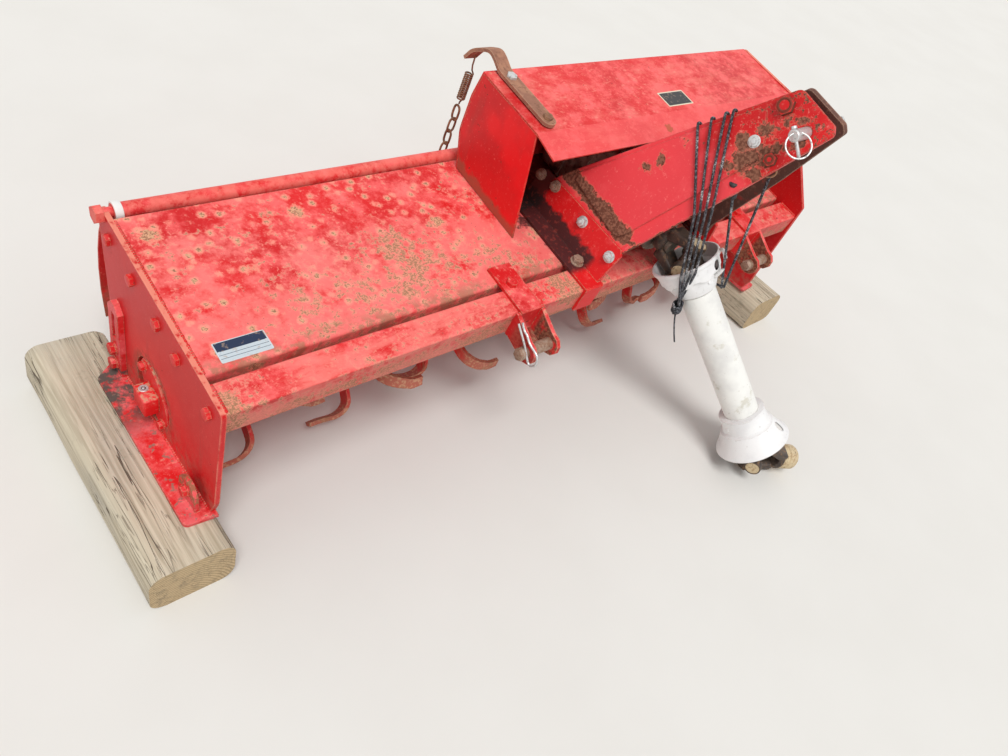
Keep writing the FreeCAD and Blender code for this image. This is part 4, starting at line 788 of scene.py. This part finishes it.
bright_bolts = bmesh.new()
for s, h in ((20, 49), (104, 53)):
    bolt(bright_bolts, on_mast(s, h, 6), MAST_OUT, 16, 7, washer=11, thread=9, roll=s)
seat = aimed(on_mast(-25, 333), MAST_OUT)
turned(bright_bolts, [(0, 5), (8.5, 5), (12.2, 3), (13, 1.6), (13, 0)], seat, 40)
disc(bright_bolts, seat, 9.2, 6.4, sides=6, rim=1.2)
disc(bright_bolts, seat, 4.6, 8.4, sides=24, rim=1.0)
disc(bright_bolts, aimed(on_deck(936, -73.9, 388.3), -ALONG), 13, 5, sides=30, rim=1.4)
piece("bright_bolts", bright_bolts, zinc, "root", slot="steel")
old_bolts = bmesh.new()
for s, h in ((192, 57), (231, 52)):
    bolt(old_bolts, on_mast(s, h, 6), MAST_OUT, 16, 7, washer=11, thread=8, roll=s)
piece("old_bolts", old_bolts, worn_steel, "root", slot="rusty_steel")
nuts = bmesh.new()
for s, h, flats, hole in ((-21, 396, 27, 8.5), (-65, 331, 19, 4.5)):
    nut = bmesh.new()
    seat = aimed(on_mast(s, h), MAST_OUT, 0.35)
    disc(nut, Matrix.Identity(4), flats / math.sqrt(3), 9, sides=6, rim=1.2)
    top = max(nut.faces, key=lambda face: face.calc_center_median().z + face.calc_area())
    join(nuts, nut, seat)
    turned(nuts, [(hole, 8.4), (hole, 9.6), (hole + 1.2, 10.2), (hole + 3, 9.4), (hole + 3, 8.4)], seat, 32)
nut_paint = red_paint("nut_paint", fade=0.1, soil=0.0, rust=1.0)
nut_paint.lay(nut_paint.step(nut_paint.facing(MAST_OUT), 0.96, 0.9), tint(112, 56, 42), 0.8)
nut_paint.lay(nut_paint.edges(3.0) * 0.9, tint(104, 60, 44), 0.85)
nut_paint.done()
piece("painted_nuts", nuts, nut_paint, "root", slot="red_paint")

pin_middle = on_deck(882, -73.9, 388.3)
link_pin = bmesh.new()
turned(link_pin, [(0, -66), (8, -66), (9.5, -64.5), (9.5, 64.5), (8, 66), (0, 66)], aimed(pin_middle, ALONG), 40)
disc(link_pin, aimed(pin_middle + ALONG * 66 * MM, ALONG), 17.5, 6, sides=6, rim=1.2)
piece("top_pin", link_pin, zinc, "root", "top_link_pin", slot="steel")
lynch = bmesh.new()
lynch_at = pin_middle - ALONG * 60 * MM
hang = (above * -0.96 + aside * 0.2 + look * 0.1).normalized()
turned(lynch, [(0, -14), (4, -14), (4.6, -13), (4.6, -9.6), (2.8, -9.6), (2.8, 32), (1.8, 34), (0, 34)],
       aimed(lynch_at, hang), 24)
ring_middle = lynch_at + hang * 17 * MM - look * 6 * MM
loop = [ring_middle + (aside * math.cos(turn) + above * math.sin(turn)) * 20 * MM
        for turn in [math.pi * k / 8 for k in range(16)]]
wire(lynch, loop, 1.4, closed=True)
piece("lynch_pin", lynch, zinc, "root", slot="steel")


# The gearbox is a grey iron casting with a round cap over its input shaft, ribs and a bolted lid, greasy and
# caked with soil; a tube runs from it to the chain case outside the right end plate.
grease = Finish("greasy_iron", tint(144, 134, 120), 0.6, 0.1)
grease.lay(grease.step(grease.cloud(36, 5, 0.62), 0.42, 0.62) * 0.8, tint(58, 50, 44), 0.45)
grease.lay(grease.step(grease.cloud(20, 5, 0.66), 0.50, 0.60) * 0.9, tint(176, 166, 150), 0.9, proud=0.4)
grease.lay(grease.step(grease.cloud(9, 4), 0.60, 0.68) * 0.8, tint(112, 70, 48), 0.9)
grease.height = grease.cloud(3, 3) * 0.4 + grease.height
grease.done()

box = bmesh.new()
bmesh.ops.create_cube(box, size=1.0)
box_seat = Matrix.Translation(on_deck(882, 192, 62)) @ across_deck
bmesh.ops.transform(box, matrix=box_seat @ Matrix.Diagonal((134 * MM, 252 * MM, 118 * MM, 1.0)), verts=box.verts)
bmesh.ops.bevel(box, geom=box.edges[:], offset=15 * MM, segments=4, profile=0.5, affect="EDGES", material=-1)
for s in (110, 160, 210, 260):
    rib = bmesh.new()
    bmesh.ops.create_cube(rib, size=1.0)
    bmesh.ops.bevel(rib, geom=rib.edges[:], offset=0.08, segments=2, profile=0.5, affect="EDGES", material=-1)
    join(box, rib, Matrix.Translation(on_deck(882, s, 58)) @ across_deck @ Matrix.Diagonal((139 * MM, 8 * MM, 104 * MM, 1.0)))
disc(box, aimed(on_deck(882, 150, 120), OFF_DECK), 44, 7, sides=40, rim=1.5)
for k in range(6):
    turn = math.pi * k / 3
    bolt(box, on_deck(882 + 36 * math.cos(turn), 150 + 36 * math.sin(turn), 126.4), OFF_DECK, 10, 4, roll=k)
nose = aimed(on_deck(882, 70, 58.5), -UP_SLOPE)
turned(box, [(0, 0), (56, 0), (56, 10), (52, 12), (46, 13), (44, 38), (41, 41), (24, 42), (22, 36), (0, 36)], nose, 56)
for k in range(6):
    turn = math.pi * (k + 0.5) / 3
    spot = nose @ (Vector((50 * math.cos(turn), 50 * math.sin(turn), 11)) * MM)
    bolt(box, spot, -UP_SLOPE, 12, 6, roll=k)
turned(box, [(0, 42), (17, 42), (17, 75), (0, 75)], nose, 36)
side_cap = aimed(on_deck(950, 285, 58.5), ALONG)
turned(box, [(0, 0), (50, 0), (50, 12), (47, 14), (38.5, 14), (38.5, 8), (0, 8)], side_cap, 56)
for k in range(6):
    turn = math.pi * k / 3
    bolt(box, side_cap @ (Vector((44 * math.cos(turn), 44 * math.sin(turn), 13)) * MM), ALONG, 9, 4, roll=k)
piece("gearbox_case", box, grease, "root", "gearbox", slot="cast_iron", crease=40)

case_paint = red_paint("case_paint", fade=0.35, soil=0.35, rust=0.7)
case_paint.done()
dress(case_paint, "cross_shaft_tube", "chain_case")
case_bolts = bmesh.new()
case_top, case_foot = on_deck(1420, 285, 58.5), machine(1420, 209, 64)
case_run = (case_top - case_foot).normalized()
case_side = case_run.cross(ALONG)
for share, wide in ((0.0, -48), (0.0, 48), (0.34, 52), (0.34, -52), (0.68, 56), (0.68, -56), (1.0, 62), (1.0, -62)):
    bolt(case_bolts, case_foot.lerp(case_top, share) + case_side * wide * MM + ALONG * 36 * MM, ALONG, 11, 5, washer=8)
bolt(case_bolts, case_top + case_run * 60 * MM + ALONG * 36 * MM, ALONG, 11, 5, washer=8)
bolt(case_bolts, case_foot - case_run * 44 * MM + ALONG * 36 * MM, ALONG, 11, 5, washer=8)
bolt(case_bolts, case_foot.lerp(case_top, 0.5) + ALONG * 36 * MM, ALONG, 19, 7, washer=13)
piece("case_bolts", case_bolts, zinc, "root", slot="steel")


# The shield over the cross drive is thin bent sheet, bleached in broad pale streaks, with a blank square
# label; its side sheet is pinned at the foot and rusts along its edges.
shield_paint = red_paint("shield_paint", fade=0.95, soil=0.12, rust=0.7)
flat_top = shield_paint.step(shield_paint.facing(OFF_DECK), 0.3, 0.9)
bleach = shield_paint.step(shield_paint.cloud(34, 6, 0.74, (0.4, 1, 1)), 0.47, 0.66)
shield_paint.lay(bleach * flat_top * 0.5, tint(236, 124, 112), 0.62)
shield_paint.lay(shield_paint.step(shield_paint.cloud(8, 5, 0.72, (0.5, 1, 1)), 0.56, 0.66) * flat_top * 0.5, tint(238, 150, 134), 0.7)
# The top's front lip is painted a lighter red: a painted highlight where the bent lip meets the light.
lit_lip_highlight = shield_paint.step(shield_paint.past(on_deck(0, 202, 0), -UP_SLOPE), -1, 1) * flat_top
shield_paint.lay(lit_lip_highlight * 0.6, tint(238, 92, 92), 0.5)
stain = shield_paint.away(on_deck(940, 168, 186)) + (shield_paint.cloud(9, 3) - 0.5) * 26
shield_paint.lay(shield_paint.step(stain, 12, 6) * 0.8, tint(176, 96, 66), 0.85)
shield_paint.done()
dress(shield_paint, "shield_top")
side_paint = red_paint("shield_side_paint", fade=0.0, soil=0.0, rust=1.0)
side_paint.lay(side_paint.step(side_paint.cloud(120, 3, 0.6), 0.44, 0.66) * 0.7, tint(244, 22, 28), 0.4)
side_foot = side_paint.past(on_deck(614, 0, 26), -OFF_DECK) + (side_paint.cloud(20, 4) - 0.5) * 40
side_paint.lay(side_paint.step(side_foot, 0, 16) * 0.7, tint(142, 90, 68), 0.9)
side_paint.done()
side = bmesh.new()
side_edge = ((147, 0.4), (328, 1.6), (357, 68), (361, 139), (355, 186.8), (200, 186.8))
bmesh.ops.contextual_create(side, geom=[side.verts.new(on_deck(614, s, h)) for s, h in side_edge])
sheet = bmesh.ops.extrude_face_region(side, geom=side.faces[:])
bmesh.ops.translate(side, vec=ALONG * 3 * MM, verts=[v for v in sheet["geom"] if isinstance(v, bmesh.types.BMVert)])
bmesh.ops.recalc_face_normals(side, faces=side.faces)
piece("shield_end", side, side_paint, "root", "shield_side", slot="red_paint")

label_face = Finish("blank_label", tint(36, 36, 38), 0.5)
label_middle = on_deck(1023, 235, 190.4)
label_x = label_face.past(label_middle, ALONG)
label_y = label_face.past(label_middle, UP_SLOPE)
for reach, wide in ((label_x, 36), (label_y, 17)):
    label_face.lay(label_face.step(reach * reach, wide ** 2, (wide + 0.5) ** 2), tint(226, 216, 190), 0.6)
label_face.lay(label_face.step(label_face.cloud(6, 4), 0.58, 0.66) * 0.4, tint(190, 160, 140), 0.8)
label_face.done()
label = bmesh.new()
bmesh.ops.create_cube(label, size=1.0)
bmesh.ops.transform(label, matrix=Matrix.Translation(on_deck(1023, 235, 190.35)) @ across_deck
                    @ Matrix.Diagonal((78 * MM, 40 * MM, 0.5 * MM, 1.0)), verts=label.verts)
uprights = [e for e in label.edges if abs((e.verts[0].co - e.verts[1].co).normalized().dot(OFF_DECK)) > 0.9]
bmesh.ops.bevel(label, geom=uprights, offset=1.5 * MM, segments=3, profile=0.5, affect="EDGES", material=-1)
piece("shield_label", label, label_face, "root", slot="steel")


# The flap is held by a flat rusty strap bolted along the shield's edge, a coil spring hooked in its eye and
# a length of plain chain down to the flap's lug.
strap_finish = Finish("weathered_strap", tint(150, 104, 84), 0.8, 0.1)
strap_finish.lay(strap_finish.step(strap_finish.cloud(30, 5, 0.66), 0.42, 0.6) * 0.7, tint(184, 134, 106), 0.85)
strap_finish.lay(strap_finish.step(strap_finish.cloud(7, 4), 0.56, 0.66) * 0.6, tint(116, 80, 60), 0.85)
strap_finish.lay(strap_finish.edges(1.8) * 0.7, tint(214, 180, 148), 0.7)
strap_finish.height = strap_finish.cloud(2.5, 3) * 0.3
strap_finish.done()
bent = [Vector(spot) for spot in ((430, 160), (421, 182), (406, 196), (381, 211), (365, 206), (347, 196.6), (205, 196.6))]
spine = [bent[0]]
for before, here, after in zip(bent, bent[1:], bent[2:]):
    start = here + (before - here).normalized() * min(10, (before - here).length * 0.45)
    stop = here + (after - here).normalized() * min(10, (after - here).length * 0.45)
    spine += [start * (1 - t) ** 2 + here * (2 * t * (1 - t)) + stop * t ** 2 for t in (0, 0.25, 0.5, 0.75, 1)]
spine += [bent[-1] + Vector((d, 0)) for d in (14, 11, 7.5, 4.5, 2.2, 0.7, 0)]
strap = bmesh.new()
end = strap.edges.new([strap.verts.new(on_deck(650 + side, spine[0].x, spine[0].y)) for side in (-14, 14)])
for spot in spine[1:]:
    grown = bmesh.ops.extrude_edge_only(strap, edges=[end])["geom"]
    end = [e for e in grown if isinstance(e, bmesh.types.BMEdge)][0]
    half = math.sqrt(max(14 ** 2 - max(14 - (spot - bent[-1]).length, 0) ** 2, 4))
    for vert in end.verts:
        side = 1 if (vert.co - on_deck(650, 0, 0)).dot(ALONG) > 0 else -1
        vert.co = on_deck(650 + side * half, spot.x, spot.y - 3)
bmesh.ops.recalc_face_normals(strap, faces=strap.faces)
if sum(face.normal.dot(OFF_DECK) for face in strap.faces) < 0:
    bmesh.ops.reverse_faces(strap, faces=strap.faces)
bmesh.ops.solidify(strap, geom=strap.faces[:], thickness=-6 * MM)
bmesh.ops.recalc_face_normals(strap, faces=strap.faces)
piece("bent_strap", strap, strap_finish, "root", "hook_strap", slot="rusty_steel", crease=40)
hook_bolt = bmesh.new()
bolt(hook_bolt, on_deck(650, 327, 196.4), OFF_DECK, 17, 6, washer=12, roll=0.3)
piece("bright_strap_bolt", hook_bolt, zinc, "root", slot="steel")
hook_bolt = bmesh.new()
bolt(hook_bolt, on_deck(650, 222, 196.4), OFF_DECK, 16, 7, washer=11, roll=0.7)
piece("old_strap_bolt", hook_bolt, rusty, "root", slot="rusty_steel")

eye, lug = on_deck(650, 421, 172), machine(650, 412, 250)
drop = (lug - eye).normalized()
hanging = Matrix.Translation(eye) @ Matrix((ALONG, drop.cross(ALONG), drop)).transposed().to_4x4()
coil = bmesh.new()
turns = [Vector((0, 0, 0)), Vector((0, 0, 24))]
turns += [Vector((7.4 * math.cos(math.pi * k / 4), 7.4 * math.sin(math.pi * k / 4), 34 + 4.2 * k / 8)) for k in range(105)]
turns += [Vector((0, 0, 94)), Vector((0, 0, 99))]
wire(coil, [hanging @ (point * MM) for point in turns], 1.5, steps=2)
piece("flap_coil", coil, rusty, "root", "flap_spring", slot="rusty_steel", crease=60)

chain = bmesh.new()
chain_from = 34 + 4.2 * 13 + 18
link_long = ((lug - eye).length / MM - chain_from) / 4 + 9
for i in range(4):
    top = chain_from - 4.5 + i * (link_long - 9)
    foot = top + link_long - 4.5
    rounds = [(7.7, top + 8), (7.7, foot - 8), (5.4, foot - 2.4), (0, foot), (-5.4, foot - 2.4), (-7.7, foot - 8),
              (-7.7, top + 8), (-5.4, top + 2.4), (0, top), (5.4, top + 2.4)]
    turned_link = (3 - i) % 2
    wire(chain, [hanging @ (Vector((0, a, b) if turned_link else (a, 0, b)) * MM) for a, b in rounds], 2.2, closed=True)
links = piece("flap_chain_links", chain, rusty, None, "flap_chain", slot="rusty_steel", crease=60)
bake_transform(links)


# The drive shaft: forged yokes with round bearing caps held by snap rings, on square telescopic tubes.
# The castings are dark with old grease, their caps and coupling rubbed to a dull rusty cream.
joint = Vector((0.172, -0.0651264, 0.3829616))
SHAFT = Vector((0.3155001, -0.6355709, -0.7046342))
LIFT = Vector((0.9176637, 0.393384, 0.0560569))
CROSS_UP = Vector((0.0464869, -0.2463891, 0.9680555))
YOKE_WAY = Vector((0.9025535, -0.4049241, -0.1464026))
REACH = 472.67
far_joint = joint + SHAFT * REACH * MM


def seated(origin, x_way, z_way):
    return Matrix.Translation(origin) @ Matrix((x_way, z_way.cross(x_way), z_way)).transposed().to_4x4()


yoke_iron = Finish("yoke_iron", tint(88, 74, 64), 0.55, 0.25)
yoke_iron.lay(yoke_iron.step(yoke_iron.cloud(20, 5, 0.62), 0.42, 0.60) * 0.8, tint(52, 42, 38), 0.42)
yoke_iron.lay(yoke_iron.step(yoke_iron.cloud(9, 5, 0.66), 0.52, 0.64) * 0.7, tint(140, 110, 84), 0.85)
yoke_iron.height = yoke_iron.cloud(3, 3) * 0.4
yoke_iron.done()
cap_face = Finish("cap_face", tint(206, 186, 150), 0.6, 0.1)
cap_face.lay(cap_face.step(cap_face.cloud(7, 5, 0.66), 0.5, 0.64) * 0.7, tint(160, 124, 88), 0.8)
cap_face.lay(cap_face.step(cap_face.cloud(4, 4), 0.6, 0.68) * 0.7, tint(104, 80, 62), 0.8)
cap_face.height = cap_face.cloud(2, 3) * 0.2
cap_face.done()


def yoke(form, seat, hub_long, eye_radius=17.0):
    """A forged fork: two ears with eyes, arms that run together into a round hub."""
    for hand in (-1, 1):
        arm = bmesh.new()
        bmesh.ops.create_cube(arm, size=1.0)
        for vert in arm.verts:
            high = vert.co.z > 0
            vert.co = Vector((hand * ((20 if high else 36) + vert.co.x * (26 if high else 15)), vert.co.y * (42 if high else 31),
                              55 if high else 2)) * MM
        if hand < 0:
            bmesh.ops.recalc_face_normals(arm, faces=arm.faces)
        bmesh.ops.bevel(arm, geom=arm.edges[:], offset=5 * MM, segments=3, profile=0.5, affect="EDGES", material=-1)
        join(form, arm, seat)
        turned(form, [(0, 28), (eye_radius - 2, 28), (eye_radius, 30), (eye_radius, 42), (eye_radius - 0.8, 45.8), (eye_radius - 2.3, 45.8), (eye_radius - 2.6, 44.4), (0, 44.4)],
               seat @ aimed(Vector((0, 0, 0)), ALONG * hand), 40)
    turned(form, [(0, 46), (22, 46), (27, 52), (27, hub_long - 1.5), (25.5, hub_long), (0, hub_long)], seat, 48)


def caps(form, seat):
    """The cream ends of the bearing caps, each within a snap ring."""
    for hand in (-1, 1):
        cap = seat @ aimed(Vector((0, 0, 0)), ALONG * hand)
        turned(form, [(0, 44.8), (8, 45.2), (13, 45.8), (14.2, 45.2), (14.5, 44.2), (0, 44.2)], cap, 36)


def cross(form, seat):
    turned(form, [(0, -27), (9, -27), (9, 27), (0, 27)], seat @ aimed(Vector((0, 0, 0)), ALONG), 28)
    turned(form, [(0, -27), (9, -27), (9, 27), (0, 27)], seat @ aimed(Vector((0, 0, 0)), Vector((0, 1, 0))), 28)
    body = bmesh.new()
    bmesh.ops.create_cube(body, size=25 * MM)
    bmesh.ops.bevel(body, geom=body.edges[:], offset=5 * MM, segments=3, profile=0.5, affect="EDGES", material=-1)
    join(form, body, seat)


on_shaft = seated(joint, LIFT, SHAFT)
at_far = seated(far_joint, LIFT, SHAFT)
flip = Matrix.Rotation(math.pi, 4, "X")
drives = (("near_fork", "near_yoke", "shaft_near", on_shaft, 98), ("far_fork", "far_yoke", "shaft_far", at_far @ flip, 98),
          ("input_fork", "input_yoke", "root", seated(joint, OFF_DECK, UP_SLOPE), 68),
          ("tractor_fork", "tractor_yoke", "tractor_yoke", seated(far_joint, CROSS_UP, YOKE_WAY), 58))
for name, replaced, body, seat, hub in drives:
    fork = bmesh.new()
    yoke(fork, seat, hub)
    piece(name, fork, yoke_iron, body, replaced, slot="cast_iron", crease=40)
    ends = bmesh.new()
    caps(ends, seat)
    piece(name + "_caps", ends, cap_face, body, slot="cast_iron")
for name, replaced, body, seat in (("near_spider", "near_cross", "root", seated(joint, OFF_DECK, OFF_DECK.cross(LIFT))),
                                   ("far_spider", "far_cross", "far_cross", seated(far_joint, LIFT, LIFT.cross(CROSS_UP)))):
    spider = bmesh.new()
    cross(spider, seat)
    piece(name, spider, yoke_iron, body, replaced, slot="cast_iron")
coupling = bmesh.new()
turned(coupling, [(17.5, 58), (24, 58), (26.8, 60), (26.8, 66), (24.5, 68), (24.5, 74), (26.8, 76), (26.8, 95), (25, 98), (18.6, 98),
                  (17.5, 97)], seated(far_joint, CROSS_UP, YOKE_WAY), 56)
disc(coupling, seated(far_joint, CROSS_UP, YOKE_WAY) @ aimed(Vector((0, 20, 85)) * MM, Vector((0, 1, 0))), 5.5, 7)
piece("coupling_sleeve", coupling, cap_face, "tractor_yoke", "tractor_coupling", slot="cast_iron")
dress(rusty, "shaft_bar_inner", "shaft_tube_outer")


# The guard is two bells and two sliding tubes of tough off-white plastic, chalky and grimed.
near_bell = bmesh.new()
turned(near_bell, [(61.2, -4.6), (62.6, -5), (64.6, -4.2), (65.2, -1), (64.6, 2.6), (62.6, 4), (61.4, 5), (59.8, 14), (57.6, 24),
                   (56.8, 29), (53.4, 30.6), (50.4, 31), (49.2, 33), (47, 44), (43, 54), (39.4, 60), (38.6, 62), (36.4, 62),
                   (28, 61), (28, 58), (38, 56), (44, 44), (47.6, 28), (55.4, 22), (58.8, 4)], Matrix.Identity(4), 144)
for vert in near_bell.verts:
    radius, place = math.hypot(vert.co.x, vert.co.y) / MM, vert.co.z / MM
    if radius > 49 and 22 < place < 34:
        turn = math.atan2(vert.co.y, vert.co.x)
        wave = math.sin(9 * turn) + 0.3 * math.sin(18 * turn + 0.7)
        vert.co.z += 5.0 * MM * max(-0.7, min(0.7, wave)) * (0.5 if radius < 54 else 1.0)
        if radius > 54:
            vert.co.xy *= 1 + 0.025 * max(0.0, -wave)
bmesh.ops.transform(near_bell, matrix=on_shaft, verts=near_bell.verts)


def round_shaft(along, off, degrees):
    turn = math.radians(degrees)
    return joint + (SHAFT * along + (LIFT * math.cos(turn) + SHAFT.cross(LIFT) * math.sin(turn)) * off) * MM


def white_plastic(name, hole_at, out_degrees, half_along, half_across):
    """The guard's chalky plastic, with an oval hole right through the wall at one place."""
    coat = Finish(name, tint(238, 237, 236), 0.5)
    coat.lay(coat.step(coat.cloud(60, 4), 0.45, 0.7) * 0.5, tint(210, 208, 210))
    coat.lay(coat.step(coat.cloud(10, 4, 0.65), 0.6, 0.7) * 0.4, tint(180, 176, 170), 0.7)
    coat.lay(coat.edges(2.5) * coat.step(coat.cloud(8, 4), 0.44, 0.6) * 0.5, tint(176, 160, 136), 0.8)
    coat.height = coat.cloud(40, 2) * 0.6 + coat.cloud(5, 3) * 0.15
    turn = math.radians(out_degrees)
    out = (LIFT * math.cos(turn) + SHAFT.cross(LIFT) * math.sin(turn)).normalized()
    along, across = coat.past(hole_at, SHAFT), coat.past(hole_at, SHAFT.cross(out))
    rim = coat.step(along * along * (1 / half_along ** 2) + across * across * (1 / half_across ** 2), 0.96, 1.04)
    other_side = coat.step(coat.past(hole_at, out), -24, -25)
    coat.feed(coat.shader.inputs["Alpha"], 1 - (1 - rim) * (1 - other_side))
    return coat.done()


near_white = white_plastic("near_bell_plastic", round_shaft(15, 58, 100), 100, 10, 8.5)
wire(near_bell, [round_shaft(*spot) for spot in ((1, 62, 74), (-4, 69, 80), (-3, 76, 90), (8, 78, 97), (22, 72, 101), (32, 60, 102),
                                                 (38, 50, 102))], 3.4)
disc(near_bell, aimed(round_shaft(40, 47.6, 122), round_shaft(40, 60, 122) - round_shaft(43, 47.6, 122)), 3.6, 2.4, sides=20)
piece("near_bell", near_bell, near_white, "shaft_near", "guard_bell_near", slot="guard_plastic")

inner_tube = bmesh.new()
turned(inner_tube, [(28.4, 62.4), (31, 62.4), (31, 329), (30.4, 330), (28.4, 330)], on_shaft, 56)
piece("inner_guard_tube", inner_tube, guard_white, "shaft_near", "guard_tube_inner", slot="guard_plastic")
outer_tube = bmesh.new()
turned(outer_tube, [(32, 65.4), (34.4, 65.4), (35, 66), (35, REACH - 104.4), (32, REACH - 104.4)], on_shaft, 72)
piece("outer_guard_tube", outer_tube, guard_white, "shaft_far", "guard_tube_outer", slot="guard_plastic")

far_white = white_plastic("far_bell_plastic", round_shaft(REACH - 64, 60, 82), 82, 11, 8)
far_bell = bmesh.new()
top = REACH - 120
turned(far_bell, [(35.4, top), (44, top), (46.6, top + 1), (47, top + 3), (45.2, top + 5), (46.4, top + 20), (48.4, top + 34),
                  (51, top + 36.5), (54, top + 37.5), (57, top + 46), (62.6, top + 58), (71, top + 72), (75.2, top + 77),
                  (76, top + 79.4), (75.4, top + 80.4), (73, top + 78.4), (69, top + 73), (60, top + 58), (52, top + 40), (46, top + 36),
                  (43.6, top + 20), (43, top + 8), (35.4, top + 6)], on_shaft, 108)
disc(far_bell, aimed(round_shaft(top + 22, 45.6, 212), round_shaft(top + 20, 60, 212) - round_shaft(top + 22, 45.6, 212)), 4.4, 2.2,
     sides=24)
piece("far_bell", far_bell, far_white, "shaft_far", "guard_bell_far", slot="guard_plastic")


# Black elastic cords with a frayed grey cover hold the shaft up to the mast: four strands over its edge and
# past the bell to a wound crimp, round under the tube, and up inside the mast by two tails.
cord_cover = Finish("cord_cover", tint(40, 40, 44), 0.8)
cord_cover.lay(cord_cover.step(cord_cover.cloud(3.2, 3, 0.7), 0.50, 0.60) * 0.7, tint(128, 130, 138), 0.9)
cord_cover.lay(cord_cover.step(cord_cover.cloud(26, 3), 0.52, 0.62) * cord_cover.step(cord_cover.cloud(1.8, 2), 0.48, 0.56),
               tint(188, 188, 190), 0.9)
cord_cover.height = cord_cover.cloud(1.4, 2) * 0.4
cord_cover.done()


def strand(form, points, radius):
    """A cord pulled tight: straight between its corners, which are only just rounded."""
    held = [points[0]]
    for before, corner, after in zip(points, points[1:], points[2:]):
        for other in (before, after):
            held.append(corner + (other - corner).normalized() * min(5 * MM, (other - corner).length * 0.3))
    wire(form, held + [points[-1]], radius, steps=6)


REAR_EDGE = UP_SLOPE * 0.844 + OFF_DECK * 0.537
FRONT_EDGE = UP_SLOPE * -0.940 - OFF_DECK * 0.342
ties = bmesh.new()
hooks = ((64, 294, -38, 198, 172), (52, 313, -42, 206, 165), (40, 332, -46, 216, 157), (33, 343, -50, 228, 149))
for i, (s, h, s_front, h_front, spread) in enumerate(hooks):
    way = [on_mast(s - 14, h - 22, -13), on_mast(s, h, -13) + REAR_EDGE * 4 * MM, on_mast(s, h, 7) + REAR_EDGE * 4 * MM,
           on_mast(s_front, h_front, 7) + FRONT_EDGE * 4 * MM, round_shaft(3, 69, spread),
           round_shaft(70 + 2 * i, 53, -146 + (i - 1.5) * 5.4)]
    strand(ties, way, 2.4)
sling = [(70, 53, -146), (71, 42, -115), (72, 40, -75), (73, 40, -35), (73, 40, 5), (72, 41, 45), (71, 44, 74)]
wire(ties, [round_shaft(*spot) for spot in sling], 2.4)
tails = []
for i, (s, h) in enumerate(((-79, 312), (-52, 262))):
    low, high = round_shaft(73.5, 44.5 + 4.6 * (1 - i), 77), on_mast(s, h, -14)
    tails.append((low, high))
    strand(ties, [low, low.lerp(high, 0.5), high], 2.4)
crimp = round_shaft(72, 53, -146)
gather = (round_shaft(72, 53, -146) - round_shaft(3, 70, 162)).normalized()
sideways = gather.cross(SHAFT).normalized()
winding = []
for k in range(64):
    turn = 2 * math.pi * k / 9
    winding.append(crimp + (sideways * math.cos(turn) * 11 + gather.cross(sideways) * math.sin(turn) * 8.5
                            + gather * (k * 0.34 - 14)) * MM)
wire(ties, winding, 1.7, steps=2)
loose = [crimp, crimp + (gather * 16 + above * -2) * MM, crimp + (gather * 24 + above * -16) * MM,
         crimp + (gather * 26 + above * -34) * MM, crimp + (gather * 22 + above * -52) * MM]
wire(ties, loose, 1.6)
tie_set = piece("tie_strands", ties, cord_cover, None, "tie_cords", slot="cord", crease=60)
on_mast(-49, 227)
round_shaft(3, 66, 163)
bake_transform(tie_set)

ferrule = bmesh.new()
upper_low, upper_high = tails[1]
ferrule_way = (upper_high - upper_low).normalized()
turned(ferrule, [(0, -14), (5.5, -14), (6.5, -13), (6.5, 12), (8, 13), (8, 17), (6.5, 18), (0, 18)],
       aimed(upper_high, ferrule_way), 28)
black = Finish("black_moulding", tint(34, 34, 38), 0.55)
black.lay(black.step(black.cloud(5, 4), 0.5, 0.66) * 0.5, tint(96, 92, 88), 0.8)
black.height = black.cloud(3, 3) * 0.2
black.done()
piece("tie_ferrule", ferrule, black, "root", slot="cord")
tie_ring = bmesh.new()
ring_at = tails[0][1]
ring_up = (tails[0][1] - tails[0][0]).normalized()
ring_aside = ring_up.cross(Vector((0.5, 0.8, 0))).normalized()
loop = [ring_at + (ring_up * (math.sin(turn) + 0.9) + ring_aside * math.cos(turn)) * 9 * MM
        for turn in [math.pi * k / 5 for k in range(10)]]
wire(tie_ring, loop, 1.6, closed=True)
piece("tie_ring", tie_ring, rusty, "root", slot="rusty_steel")
